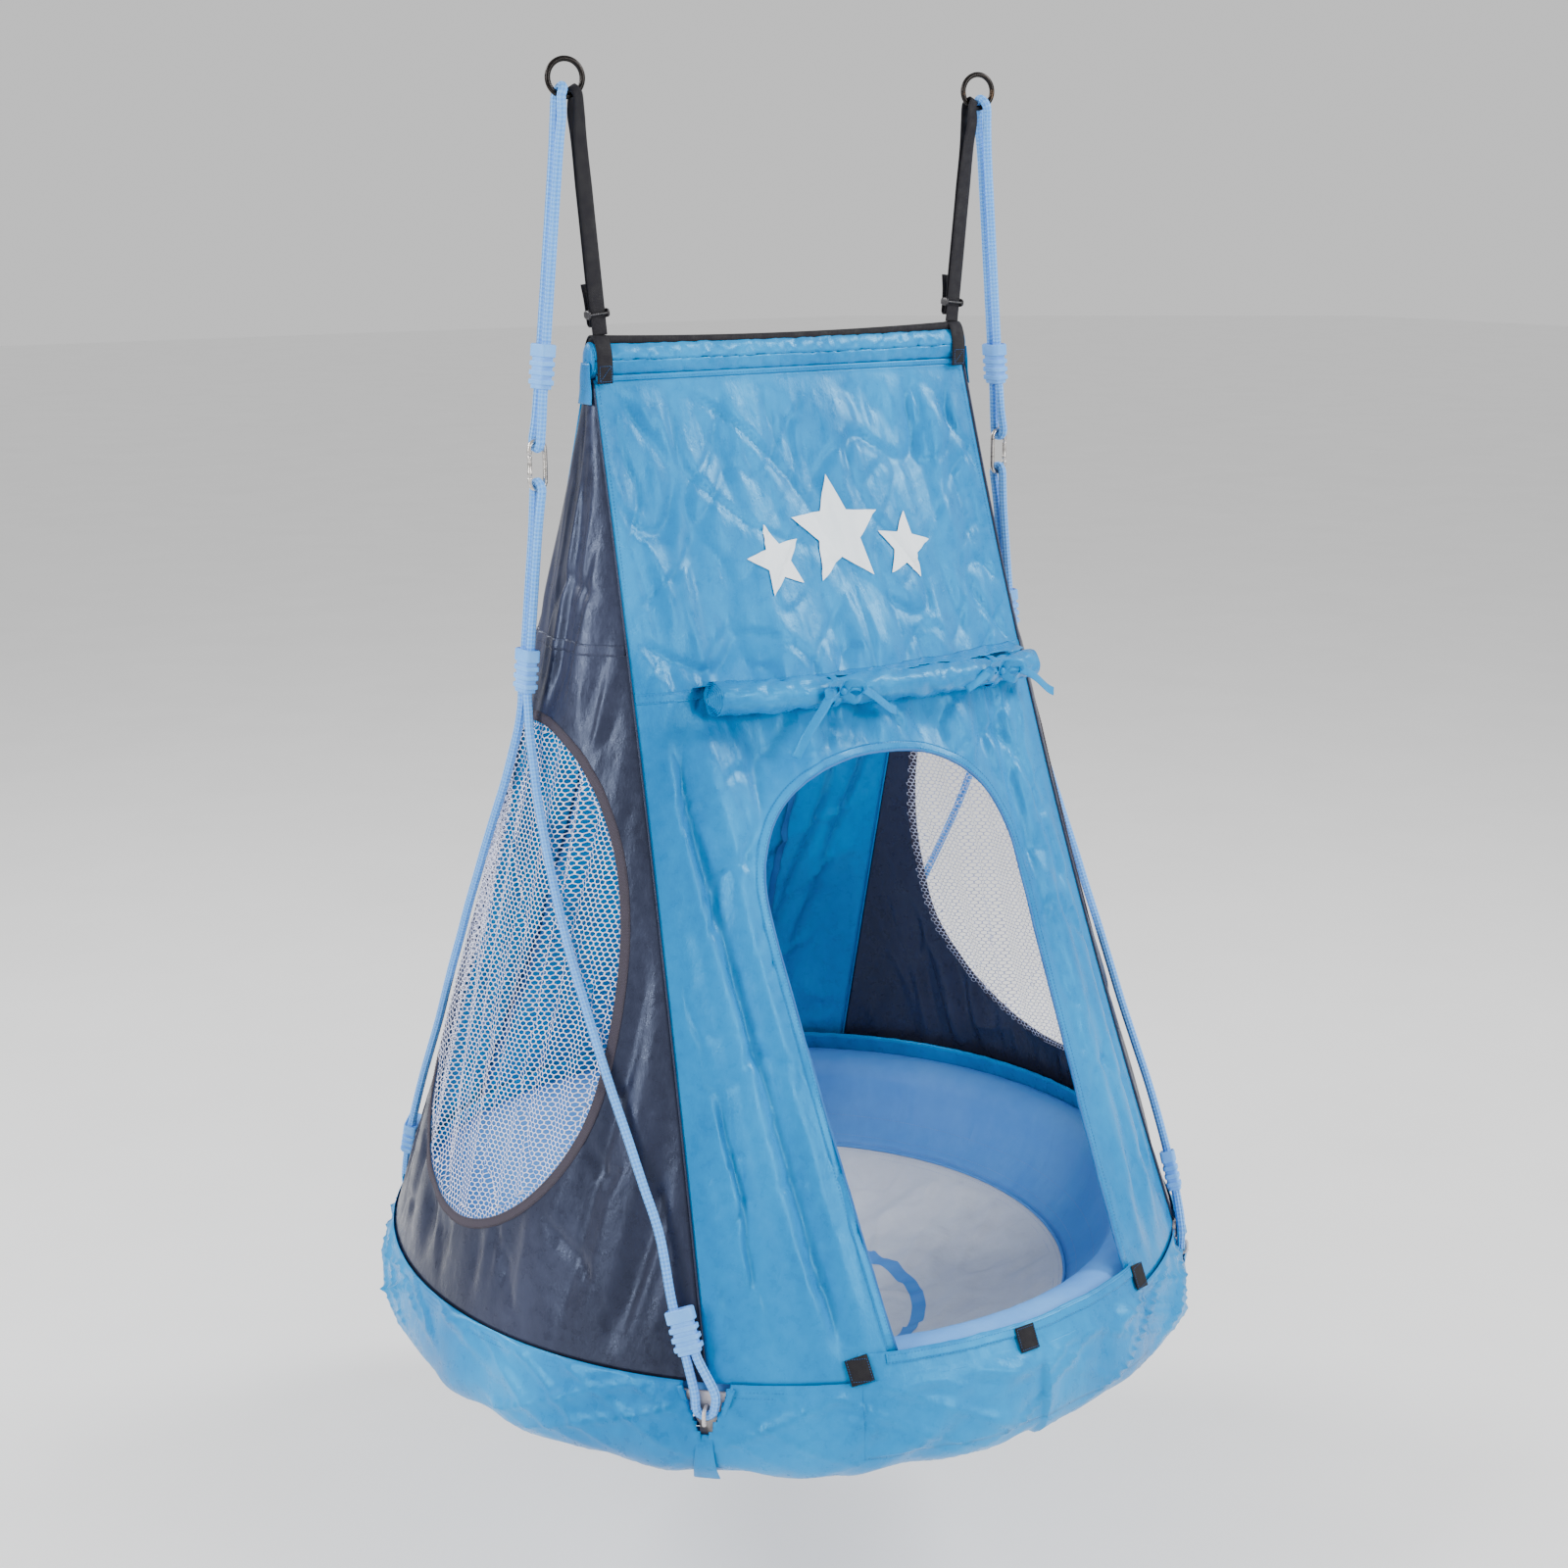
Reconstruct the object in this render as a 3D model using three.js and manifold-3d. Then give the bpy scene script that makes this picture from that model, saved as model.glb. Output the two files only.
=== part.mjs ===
// A saucer nest swing with a play tent over it: a padded round seat on four rope ends, hung from two rings,
// and a ridge tent that hangs from the same rings and fits over the seat.
// Millimetres. X runs along the tent's ridge from ring to ring, -Y is the side with the door, +Z is up.
// The origin is halfway between the centres of the two hang rings. Inside the hanging group, z = 0 is the
// level of the seat's steel ring, HANG below the hang rings.
import * as THREE from "three";
import { mergeVertices } from "three/addons/utils/BufferGeometryUtils.js";
import Module from "manifold-3d";

const wasm = await Module();
wasm.setup();

// ---------------------------------------------------------------- driving dimensions
const HANG = 1580; // hang ring centres above the seat's steel ring
const RING_X = 330; // hang ring centres from the middle
const RING_R = 22.5; // hang ring, centre of its wire
const RING_WIRE = 3.6; // hang ring, wire radius
const RING_TURN = THREE.MathUtils.degToRad(12); // the rings have swivelled this far on their hooks

const SEAT_R = 515; // steel ring, centre line
const TUBE_R = 14; // steel ring, tube radius
const FOAM_R = 38; // padding radius
const COVER_R = 42.3; // seat cover, middle of the cloth round the padding
const BORDER_IN = [411, -84]; // where the seat's border meets its middle, [radius, height]
const SEAT_SAG = 180; // the middle of the seat below the steel ring
const STEP = THREE.MathUtils.degToRad(15); // round parts have a corner every STEP, halfway between the lugs
const FIRST = STEP / 2;

const ROPE = 6; // rope radius
const STRAND = 6.7; // half the distance between two strands in a clamp
const LOOP = 9.7; // bend of a rope over a carabiner's wire
const RING_LOOP = 11.6; // bend of a rope over a hang ring, loose enough to swing
const CLAMP_LENGTH = 56;
const UPPER_CLAMP_Z = { left: 1230, right: 1204 };
const MID_CLAMP_Z = 845;
const SNAP = { x: 382, half: 20, r: 11, wire: 3 }; // carabiner: centre, straight half length, bend
const SNAP_Z = { left: 1107, right: 1078 }; // the two ropes are adjusted a little differently

const LUG_R = 565; // middle of the lug plate's sheet
const LUG_SHEET = 4;
const EYE_R = 575; // the rope's bend at a lug, from the swing's axis
const EYE_Z = -10;
const EYE_BEND = 12;
const END_CLAMP = new THREE.Vector3(414.6, 374.1, 80);

const TENT_R = 562; // tent cloth at its bottom seam
const TENT_BOTTOM = 15.5;
const TENT_TOP = 1208; // the panels end under the ridge sleeve
const RIDGE = 303; // half the ridge's length
const RIDGE_GAP = 9; // front and back panel from the middle, under the ridge
const CLOTH = 1.6; // thickness of the cloth solids
const SEAM_SAG = 14; // corner seams pull in this far halfway down, along X and along Y
const SEAM_GAP = 3; // panels stop this far short of a corner seam
const DOOR = { half: 205, sill: 46, spring: 552, top: 722 };
const WINDOW = { half: 200, middle: 345, top: 781, bottom: 127 };
const SLEEVE = { y: 13, z: 22, middle: 1235 };
const PATCH_X = 288;

const SIDES = { left: -1, right: 1 };
const ENDS = { front: -1, back: 1 };
const CORNER = Math.SQRT1_2;

// ---------------------------------------------------------------- materials
const metal = (color, roughness) => new THREE.MeshStandardMaterial({ color, roughness, metalness: 0.9 });
const soft = (color, roughness = 0.85) => new THREE.MeshStandardMaterial({ color, roughness, metalness: 0 });
const BLACK_STEEL = () => metal(0x1c1a18, 0.35);
const STEEL = () => metal(0xb4aca8, 0.35);
const ROPE_BLUE = () => soft(0x96cdff);
const CLAMP_BLUE = () => soft(0xa0cbf2, 0.5);
const FOAM = () => soft(0x3a3a3e);
const TENT_BLUE = () => soft(0x14a0e6, 0.55);
const TENT_GREY = () => soft(0x4b4858, 0.45);
const MESH_WHITE = () => soft(0xd7cde1);
const WEBBING = () => soft(0x2c2a32);
const SEAT_BORDER = () => soft(0x96acd7);
const SEAT_MIDDLE = () => soft(0xacadae);
const POLE_GREY = () => soft(0x8c8c8c, 0.4);

// ---------------------------------------------------------------- small tools
const vec = (x, y, z) => new THREE.Vector3(x, y, z);
const degrees = THREE.MathUtils.degToRad;
const mix = THREE.MathUtils.lerp;

const hanging = new THREE.Group();
hanging.position.z = -HANG;
const swing = new THREE.Group();
swing.add(hanging);

function addPart(name, geometry, material, place = null) {
  const mesh = new THREE.Mesh(geometry, material);
  mesh.name = name;
  if (place) mesh.applyMatrix4(place);
  hanging.add(mesh);
}

function toSolid(geometry) {
  const bare = geometry.index ? geometry.toNonIndexed() : geometry.clone();
  bare.deleteAttribute("normal");
  bare.deleteAttribute("uv");
  const merged = mergeVertices(bare, 1e-3);
  const vertProperties = new Float32Array(merged.attributes.position.array);
  const triVerts = new Uint32Array(merged.index.array);
  return new wasm.Manifold(new wasm.Mesh({ numProp: 3, vertProperties, triVerts }));
}

function toGeometry(solid) {
  const mesh = solid.getMesh();
  const geometry = new THREE.BufferGeometry();
  geometry.setAttribute("position", new THREE.BufferAttribute(new Float32Array(mesh.vertProperties), 3));
  geometry.setIndex(new THREE.BufferAttribute(new Uint32Array(mesh.triVerts), 1));
  geometry.computeVertexNormals();
  return geometry;
}

const join = (...geometries) => toGeometry(geometries.map(toSolid).reduce((a, b) => a.add(b)));
const cut = (geometry, ...tools) =>
  toGeometry(tools.map(toSolid).reduce((a, b) => a.subtract(b), toSolid(geometry)));
const common = (a, b) => toGeometry(toSolid(a).intersect(toSolid(b)));

// The shape with these corners, given as [x, y] pairs, running anticlockwise.
function outline(corners, ...holes) {
  const points = corners.map(([x, y]) => new THREE.Vector2(x, y));
  if (THREE.ShapeUtils.area(points) < 0) points.reverse();
  const shape = new THREE.Shape(points);
  shape.holes = holes.map((hole) => new THREE.Path(hole.map(([x, y]) => new THREE.Vector2(x, y))));
  return shape;
}

function ngon(sides, radius, turn = 0, middle = [0, 0]) {
  return Array.from({ length: sides }, (_, i) => {
    const a = turn + (2 * Math.PI * i) / sides;
    return [middle[0] + radius * Math.cos(a), middle[1] + radius * Math.sin(a)];
  });
}

function ellipseArc(middle, rx, ry, from, to, steps) {
  return Array.from({ length: steps + 1 }, (_, i) => {
    const a = mix(from, to, i / steps);
    return [middle[0] + rx * Math.cos(a), middle[1] + ry * Math.sin(a)];
  });
}

const prism = (shape, depth) => new THREE.ExtrudeGeometry(shape, { depth, steps: 1, bevelEnabled: false });

// A route that is sampled at its own points, so that a long rope has its corners where it bends.
class Route extends THREE.CatmullRomCurve3 {
  getPointAt(u, target) {
    return this.getPoint(u, target);
  }
  getTangentAt(u, target) {
    return this.getTangent(u, target);
  }
}

function tube(points, shape, closed = false) {
  const steps = closed ? points.length : points.length - 1;
  const extrudePath = new Route(points, closed);
  return new THREE.ExtrudeGeometry(shape, { steps, extrudePath, bevelEnabled: false });
}

// A flat band through stations { at, wide, half }: the middle, the direction of its width, half the width.
function band(stations, thickness) {
  const positions = [];
  stations.forEach(({ at, wide, half }, i) => {
    const before = stations[Math.max(i - 1, 0)].at;
    const after = stations[Math.min(i + 1, stations.length - 1)].at;
    const along = after.clone().sub(before).normalize();
    const width = wide.clone().addScaledVector(along, -wide.dot(along)).normalize();
    const up = along.clone().cross(width).multiplyScalar(thickness / 2);
    width.multiplyScalar(half);
    for (const [a, b] of [[-1, -1], [1, -1], [1, 1], [-1, 1]]) {
      positions.push(...at.clone().addScaledVector(width, a).addScaledVector(up, b).toArray());
    }
  });
  const index = [0, 2, 1, 0, 3, 2];
  for (let i = 0; i + 1 < stations.length; i++) {
    for (let k = 0; k < 4; k++) {
      const [a, b] = [4 * i + k, 4 * i + ((k + 1) % 4)];
      index.push(a, b, b + 4, a, b + 4, a + 4);
    }
  }
  const last = 4 * (stations.length - 1);
  index.push(last, last + 1, last + 2, last, last + 2, last + 3);
  return closedGeometry(positions, index);
}

function closedGeometry(positions, index) {
  const geometry = new THREE.BufferGeometry();
  geometry.setAttribute("position", new THREE.Float32BufferAttribute(positions, 3));
  geometry.setIndex(index);
  geometry.computeVertexNormals();
  return geometry;
}

// A closed skin on the surface at(u, v), CLOTH thick, with a corner at each of us and vs.
function skin(at, us, vs) {
  const delta = 1e-3;
  const positions = [];
  for (const side of [0.5, -0.5]) {
    for (const v of vs) {
      for (const u of us) {
        const du = at(u + delta, v).sub(at(u - delta, v));
        const dv = at(u, v + delta).sub(at(u, v - delta));
        positions.push(...at(u, v).addScaledVector(du.cross(dv).normalize(), side * CLOTH).toArray());
      }
    }
  }
  const [nu, nv] = [us.length, vs.length];
  const top = (i, j) => j * nu + i;
  const bottom = (i, j) => nu * nv + top(i, j);
  const index = [];
  for (let j = 0; j + 1 < nv; j++) {
    for (let i = 0; i + 1 < nu; i++) {
      index.push(top(i, j), top(i + 1, j), top(i + 1, j + 1), top(i, j), top(i + 1, j + 1), top(i, j + 1));
      index.push(bottom(i, j), bottom(i + 1, j + 1), bottom(i + 1, j));
      index.push(bottom(i, j), bottom(i, j + 1), bottom(i + 1, j + 1));
    }
  }
  const rim = [];
  for (let i = 0; i + 1 < nu; i++) rim.push([i, 0]);
  for (let j = 0; j + 1 < nv; j++) rim.push([nu - 1, j]);
  for (let i = nu - 1; i > 0; i--) rim.push([i, nv - 1]);
  for (let j = nv - 1; j > 0; j--) rim.push([0, j]);
  rim.forEach(([i, j], k) => {
    const [m, n] = rim[(k + 1) % rim.length];
    index.push(top(i, j), bottom(i, j), bottom(m, n), top(i, j), bottom(m, n), top(m, n));
  });
  return closedGeometry(positions, index);
}

// The outline of a strip of sheet that follows a bent line of [x, y] points.
function stripOutline(line, thickness) {
  const side = (sign) =>
    line.map(([x, y], i) => {
      const [ax, ay] = line[Math.max(i - 1, 0)];
      const [bx, by] = line[Math.min(i + 1, line.length - 1)];
      const length = Math.hypot(bx - ax, by - ay);
      const offset = (sign * thickness) / 2 / length;
      return [x - (by - ay) * offset, y + (bx - ax) * offset];
    });
  return [...side(1), ...side(-1).reverse()];
}

// A round part: the closed outline of [radius, height] corners turned about the swing's axis.
function turned(corners) {
  const points = corners.map(([r, z]) => new THREE.Vector2(r, z));
  if (THREE.ShapeUtils.area(points) < 0) points.reverse();
  points.push(points[0].clone());
  return new THREE.LatheGeometry(points, Math.round((2 * Math.PI) / STEP), FIRST).rotateX(Math.PI / 2);
}

// Points round the steel ring from one angle to another, on the straight stretches between its corners.
// Angles are from -Y, positive towards +X.
function ringPath(radius, from, to) {
  const at = (a) => {
    const middle = Math.round(a / STEP) * STEP;
    const r = (radius * Math.cos(STEP / 2)) / Math.cos(a - middle);
    return vec(r * Math.sin(a), -r * Math.cos(a), 0);
  };
  const points = [at(from)];
  const margin = degrees(0.5);
  for (let a = Math.ceil((from - FIRST) / STEP) * STEP + FIRST; a < to; a += STEP) {
    if (a > from + margin && a < to - margin) points.push(at(a));
  }
  points.push(at(to));
  return points;
}

// ---------------------------------------------------------------- tent cloth
const CLOTH_ANGLES = [-45, -37.5, -22.5, -7.5, 7.5, 22.5, 37.5, 45].map(degrees);

// Half the tent's section at a height, measured to its corner seams. s is 0 at the top and 1 at the bottom.
function halfSection(s) {
  const pull = SEAM_SAG * 4 * s * (1 - s);
  return {
    x: mix(RIDGE, TENT_R * CORNER, s) - pull,
    y: mix(RIDGE_GAP, TENT_R * CORNER, s) - pull,
  };
}

const tentHeight = (s) => mix(TENT_TOP, TENT_BOTTOM, s);
const tentLevel = (z) => (TENT_TOP - z) / (TENT_TOP - TENT_BOTTOM);

// The front and back panels are fuller near the bottom, and the side panels higher up.
const PANELS = {
  front: { quarter: 0, fullness: 1.2 },
  right: { quarter: 1, fullness: 0.85 },
  back: { quarter: 2, fullness: 1.2 },
  left: { quarter: 3, fullness: 0.85 },
};

// A point of a panel: angle runs from one corner seam to the other, s from the top to the bottom.
function onPanel({ quarter, fullness }, angle, s, gap = SEAM_GAP) {
  const section = halfSection(s);
  const [half, out] = quarter % 2 ? [section.y, section.x] : [section.x, section.y];
  const along = ((half - gap) * Math.sin(angle)) / CORNER;
  const bulge = Math.pow(Math.max(s, 0), fullness) * TENT_R * (Math.cos(angle) - CORNER);
  const [a, o, z] = [along, out + bulge, tentHeight(s)];
  return [vec(a, -o, z), vec(o, a, z), vec(-a, o, z), vec(-o, -a, z)][quarter];
}

function panelSkin(panel, rows, top) {
  const levels = Array.from({ length: rows + 1 }, (_, i) => i / rows);
  return skin((angle, v) => onPanel(panel, angle, mix(1, top, v)), CLOTH_ANGLES, levels);
}

// Where the line through [x, z], straight back from the front, meets the front panel, and its outward normal.
function onFront(x, z) {
  const s = tentLevel(z);
  const half = halfSection(s).x - SEAM_GAP;
  const angle = Math.asin((x / half) * CORNER);
  const at = onPanel(PANELS.front, angle, s);
  const across = onPanel(PANELS.front, angle + 0.01, s).sub(at);
  const up = onPanel(PANELS.front, angle, s - 0.01).sub(at);
  return { at, out: across.clone().cross(up).normalize(), across: across.normalize() };
}

function doorPrism() {
  const { half, sill, spring, top } = DOOR;
  const arch = ellipseArc([0, spring], half, top - spring, 0, Math.PI, 12);
  const shape = outline([[-half, sill], [half, sill], ...arch]);
  return prism(shape, 700).rotateX(Math.PI / 2);
}

function windowPrism(shrink, side) {
  const { half, middle, top, bottom } = WINDOW;
  const upper = ellipseArc([0, middle], half - shrink, top - middle - shrink, 0, Math.PI, 12);
  const lower = ellipseArc([0, middle], half - shrink, middle - bottom - shrink, Math.PI, 2 * Math.PI, 10);
  const shape = outline([...upper, ...lower.slice(1, -1)]);
  return prism(shape, 700).rotateX(Math.PI / 2).rotateZ((side * Math.PI) / 2);
}

addPart("tent_front_panel", cut(panelSkin(PANELS.front, 7, 0), doorPrism()), TENT_BLUE());
addPart("tent_back_panel", panelSkin(PANELS.back, 7, 0), TENT_BLUE());
for (const [side, sign] of Object.entries(SIDES)) {
  const panel = panelSkin(PANELS[side], 7, 0.01);
  addPart("tent_" + side + "_panel", cut(panel, windowPrism(0, sign)), TENT_GREY());
  addPart("mesh_window_" + side, common(panel, windowPrism(0.5, sign)), MESH_WHITE());
}

// ---------------------------------------------------------------- skirt, with a slit over each lug
const skirtLine = [
  [563, 14], [568, -5], [577, -35], [580, -65],
  [572, -92], [550, -108], [515, -107], [478, -93],
];
const cornerTurn = (sign, end) => Math.atan2(end, sign); // the direction of a lug, from +X towards +Y

function skirt() {
  const slit = outline([[-40, 20], [40, 20], [13, -58], [-13, -58]]);
  const slits = [];
  for (const sign of Object.values(SIDES)) {
    for (const end of Object.values(ENDS)) {
      const tool = prism(slit, 70).rotateX(Math.PI / 2).rotateZ(Math.PI / 2);
      slits.push(tool.translate(535, 0, 0).rotateZ(cornerTurn(sign, end)));
    }
  }
  return cut(turned(stripOutline(skirtLine, 2.4)), ...slits);
}
addPart("skirt", skirt(), TENT_BLUE());
const hemElastic = new THREE.TorusGeometry(471.5, 3, 6, Math.round((2 * Math.PI) / STEP)).rotateZ(FIRST);
addPart("skirt_hem_elastic", hemElastic.translate(0, 0, -91), soft(0x303036));

// ---------------------------------------------------------------- ridge
const ridgeArc = ellipseArc([0, SLEEVE.middle], SLEEVE.y, SLEEVE.z, 0, 2 * Math.PI, 12).slice(0, -1);
const sleeveBore = ngon(8, 9.6, 0, [0, SLEEVE.middle]);
const alongX = (shape, from, to) =>
  prism(shape, to - from).rotateX(Math.PI / 2).rotateZ(Math.PI / 2).translate(from, 0, 0);
addPart("ridge_sleeve", alongX(outline(ridgeArc, sleeveBore), -302, 302), TENT_BLUE());
addPart("ridge_pole", alongX(outline(ngon(8, 8, 0, [0, SLEEVE.middle])), -299, 299), POLE_GREY());

// The black webbing on top of the sleeve sags a little between the two straps.
const bindingSteps = [-272, -200, -100, 0, 100, 200, 272];
const bindingStations = bindingSteps.map((x) => ({
  at: vec(x, 0, 1262 + 5 * Math.pow(x / 272, 2)),
  wide: vec(0, 1, 0),
  half: 5,
}));
addPart("ridge_binding", band(bindingStations, 7), WEBBING());

const patchLine = [
  [-15.6, 1210], [-15.6, 1242], [-11, 1257], [-5, 1262],
  [5, 1262], [11, 1257], [15.6, 1242], [15.6, 1210],
];
for (const [side, sign] of Object.entries(SIDES)) {
  const patch = alongX(outline(stripOutline(patchLine, 2.4)), -11, 11);
  addPart("corner_patch_" + side, patch.translate(sign * PATCH_X, 0, 0), WEBBING());
}

// ---------------------------------------------------------------- hang rings
const ringAcross = vec(Math.cos(RING_TURN), -Math.sin(RING_TURN), 0);
const ringOut = vec(-Math.sin(RING_TURN), -Math.cos(RING_TURN), 0);

// The frame of a loop on a ring's wire, at an angle from the ring's lowest point, positive outboard.
function onRing(sign, angle) {
  const outboard = ringAcross.clone().multiplyScalar(sign);
  const down = outboard.clone().multiplyScalar(Math.sin(angle)).add(vec(0, 0, -Math.cos(angle)));
  const wire = vec(sign * RING_X, 0, HANG).addScaledVector(down, RING_R);
  const along = outboard.multiplyScalar(Math.cos(angle)).add(vec(0, 0, Math.sin(angle)));
  return { wire, up: down.negate(), along };
}

for (const [side, sign] of Object.entries(SIDES)) {
  const ring = new THREE.TorusGeometry(RING_R, RING_WIRE, 8, 16).rotateX(Math.PI / 2).rotateZ(-RING_TURN);
  addPart("hang_ring_" + side, ring.translate(sign * RING_X, 0, HANG), BLACK_STEEL());
}

// ---------------------------------------------------------------- ropes
const ropeShape = outline(ngon(8, ROPE));

// Points of a half turn round a wire, from the direction start through the direction top.
function halfTurn(middle, start, top, radius, steps = 8) {
  return Array.from({ length: steps + 1 }, (_, i) => {
    const a = (Math.PI * i) / steps;
    const point = middle.clone().addScaledVector(start, radius * Math.cos(a));
    return point.addScaledVector(top, radius * Math.sin(a));
  });
}

const UPPER_TOP = { x: 338.5, z: HANG - 21 };
const MID_CLAMP_X = 405.5;
const sideOf = (sign) => (sign < 0 ? "left" : "right");
const snapTop = (sign) => SNAP_Z[sideOf(sign)] + SNAP.half + SNAP.r;
const snapBottom = (sign) => SNAP_Z[sideOf(sign)] - SNAP.half - SNAP.r;

// How far out the upper and the lower rope are at a height.
function upperX(sign, z) {
  return mix(UPPER_TOP.x, SNAP.x - 1, (UPPER_TOP.z - z) / (UPPER_TOP.z - snapTop(sign)));
}

function lowerX(sign, z) {
  return mix(SNAP.x, MID_CLAMP_X, (snapBottom(sign) - z) / (snapBottom(sign) - MID_CLAMP_Z));
}

const FRONT = vec(0, -1, 0);
const UP = vec(0, 0, 1);
const DOWN = vec(0, 0, -1);

// One piece of rope: both its ends butt inside the clamp, on the back strand.
function upperRoute(sign) {
  const strand = (end, spread, z) => vec(sign * upperX(sign, z), end * spread, z);
  const loop = onRing(sign, degrees(23));
  const clamp = UPPER_CLAMP_Z[sideOf(sign)];
  const top = snapTop(sign);
  const heights = [[9, 1535], [7.2, 1500], [STRAND, 1440], [STRAND, 1340], [STRAND, clamp + 36]];
  heights.push([STRAND, top + 54], [8, top + 24]);
  const run = (end) => heights.map(([spread, z]) => strand(end, spread, z));
  const back = run(ENDS.back);
  return [
    strand(ENDS.back, STRAND, clamp + 4),
    ...back.slice(0, 5).reverse(),
    ...halfTurn(loop.wire, ringOut.clone().negate(), loop.up, RING_LOOP),
    ...run(ENDS.front),
    ...halfTurn(vec(sign * SNAP.x, 0, top), FRONT, DOWN, LOOP),
    ...back.slice(5).reverse(),
    strand(ENDS.back, STRAND, clamp - 4),
  ];
}

// The frame of an end clamp: along the rope, and across its two strands towards the lug's corner.
function endClamp(sign, end) {
  const at = END_CLAMP.clone().multiply(vec(sign, end, 1));
  const along = vec(sign * 8, -end * 87, 200).normalize();
  const across = vec(-sign * 0.68, end * 0.73, 0);
  across.addScaledVector(along, -across.dot(along)).normalize();
  return { at, along, across };
}

// From the bare end inside the end clamp, down and round the lug's eye, and up through the clamp.
function endLoop(sign, end) {
  const { at, along, across } = endClamp(sign, end);
  const inClamp = (side, up) => at.clone().addScaledVector(across, side * STRAND).addScaledVector(along, up);
  const reach = CLAMP_LENGTH / 2 + 4;
  const eye = vec(sign * EYE_R * CORNER, end * EYE_R * CORNER, EYE_Z);
  const round = vec(-sign * CORNER, end * CORNER, 0);
  return [
    inClamp(1, 2),
    inClamp(1, -reach),
    eye.clone().addScaledVector(round, EYE_BEND + 1).addScaledVector(UP, 16),
    ...halfTurn(eye, round, DOWN, EYE_BEND, 6),
    eye.clone().addScaledVector(round, -EYE_BEND - 1).addScaledVector(UP, 16),
    inClamp(-1, -reach),
    inClamp(-1, reach),
  ];
}

// The strand from the middle clamp down to an end clamp lies against the tent's side.
const FREE_STRAND = [
  [409, 8, 800], [411, 14, 770], [414, 26, 735], [418, 43, 690], [422, 64, 645],
  [425, 86, 600], [427, 111, 550], [428, 138, 500], [427, 166, 450], [426, 195, 400],
  [424, 224, 350], [421, 254, 300], [419, 288, 245], [417, 322, 190],
];

function lowerRoute(sign) {
  const strand = (end, spread, z) => vec(sign * lowerX(sign, z), end * spread, z);
  const bottom = snapBottom(sign);
  const half = (end) => [
    ...endLoop(sign, end),
    ...FREE_STRAND.map(([x, y, z]) => vec(sign * x, end * y, z)).reverse(),
    strand(end, STRAND, MID_CLAMP_Z - 32),
    strand(end, STRAND, MID_CLAMP_Z + 32),
    strand(end, STRAND, 930),
    strand(end, STRAND, bottom - 52),
    strand(end, 8.3, bottom - 22),
  ];
  const over = halfTurn(vec(sign * SNAP.x, 0, bottom), FRONT, UP, LOOP);
  return [...half(ENDS.front), ...over, ...half(ENDS.back).reverse()];
}

for (const [side, sign] of Object.entries(SIDES)) {
  addPart("upper_rope_" + side, tube(upperRoute(sign), ropeShape), ROPE_BLUE());
  addPart("lower_rope_" + side, tube(lowerRoute(sign), ropeShape), ROPE_BLUE());
}

// ---------------------------------------------------------------- rope clamps
// Two bores side by side along X, the rope along Z: a tall rib at the top and three narrow ones below.
function clampGeometry() {
  const bores = [-STRAND, STRAND].map((x) => ngon(8, 6.45 / Math.cos(Math.PI / 8), Math.PI / 8, [x, 0]));
  const slice = (x, y, from, to) => {
    const box = [[-x, -y], [x, -y], [x, y], [-x, y]];
    return prism(outline(box, ...bores), to - from).translate(0, 0, from);
  };
  const ribs = [[12, 28], [0.5, 7], [-11, -4.5], [-22.5, -16]];
  return join(slice(14.4, 8.8, -28, 28), ...ribs.map(([from, to]) => slice(18, 10.4, from, to)));
}

function clampPlace(at, along, across) {
  const thick = along.clone().cross(across);
  return new THREE.Matrix4().makeBasis(across, thick, along).setPosition(at);
}

for (const [side, sign] of Object.entries(SIDES)) {
  for (const [level, z, x] of [["upper", UPPER_CLAMP_Z[side], upperX], ["middle", MID_CLAMP_Z, lowerX]]) {
    const along = vec(sign * (x(sign, z + 10) - x(sign, z)), 0, 10).normalize();
    const place = clampPlace(vec(sign * x(sign, z), 0, z), along, vec(0, 1, 0));
    addPart(level + "_clamp_" + side, clampGeometry(), CLAMP_BLUE(), place);
  }
  for (const [where, end] of Object.entries(ENDS)) {
    const { at, along, across } = endClamp(sign, end);
    addPart("end_clamp_" + where + "_" + side, clampGeometry(), CLAMP_BLUE(), clampPlace(at, along, across));
  }
}

// ---------------------------------------------------------------- carabiners, gate on the outboard side
const GATE = { from: -13, to: 13 };

function snapBody(sign) {
  const { half, r } = SNAP;
  const points = [vec(sign * r, 0, GATE.to + 1.2), vec(sign * r, 0, half)];
  points.push(...halfTurn(vec(0, 0, half), vec(sign, 0, 0), UP, r).slice(1));
  points.push(...halfTurn(vec(0, 0, -half), vec(-sign, 0, 0), DOWN, r));
  points.push(vec(sign * r, 0, GATE.from - 1.8));
  return tube(points, outline(ngon(8, SNAP.wire)));
}

for (const [side, sign] of Object.entries(SIDES)) {
  const place = new THREE.Matrix4().setPosition(sign * SNAP.x, 0, SNAP_Z[side]);
  addPart("carabiner_" + side, snapBody(sign), STEEL(), place);
  const gate = prism(outline(ngon(8, SNAP.wire)), GATE.to - GATE.from).translate(sign * SNAP.r, 0, GATE.from);
  addPart("carabiner_gate_" + side, gate, STEEL(), place);
}

// ---------------------------------------------------------------- tent straps and their sliders
const STRAP_LOW = vec(PATCH_X, 0, 1266);
const STRAP_SPLIT = 2.3; // half the distance between the strap's two layers
const STRAP_HALF = 11;

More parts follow.
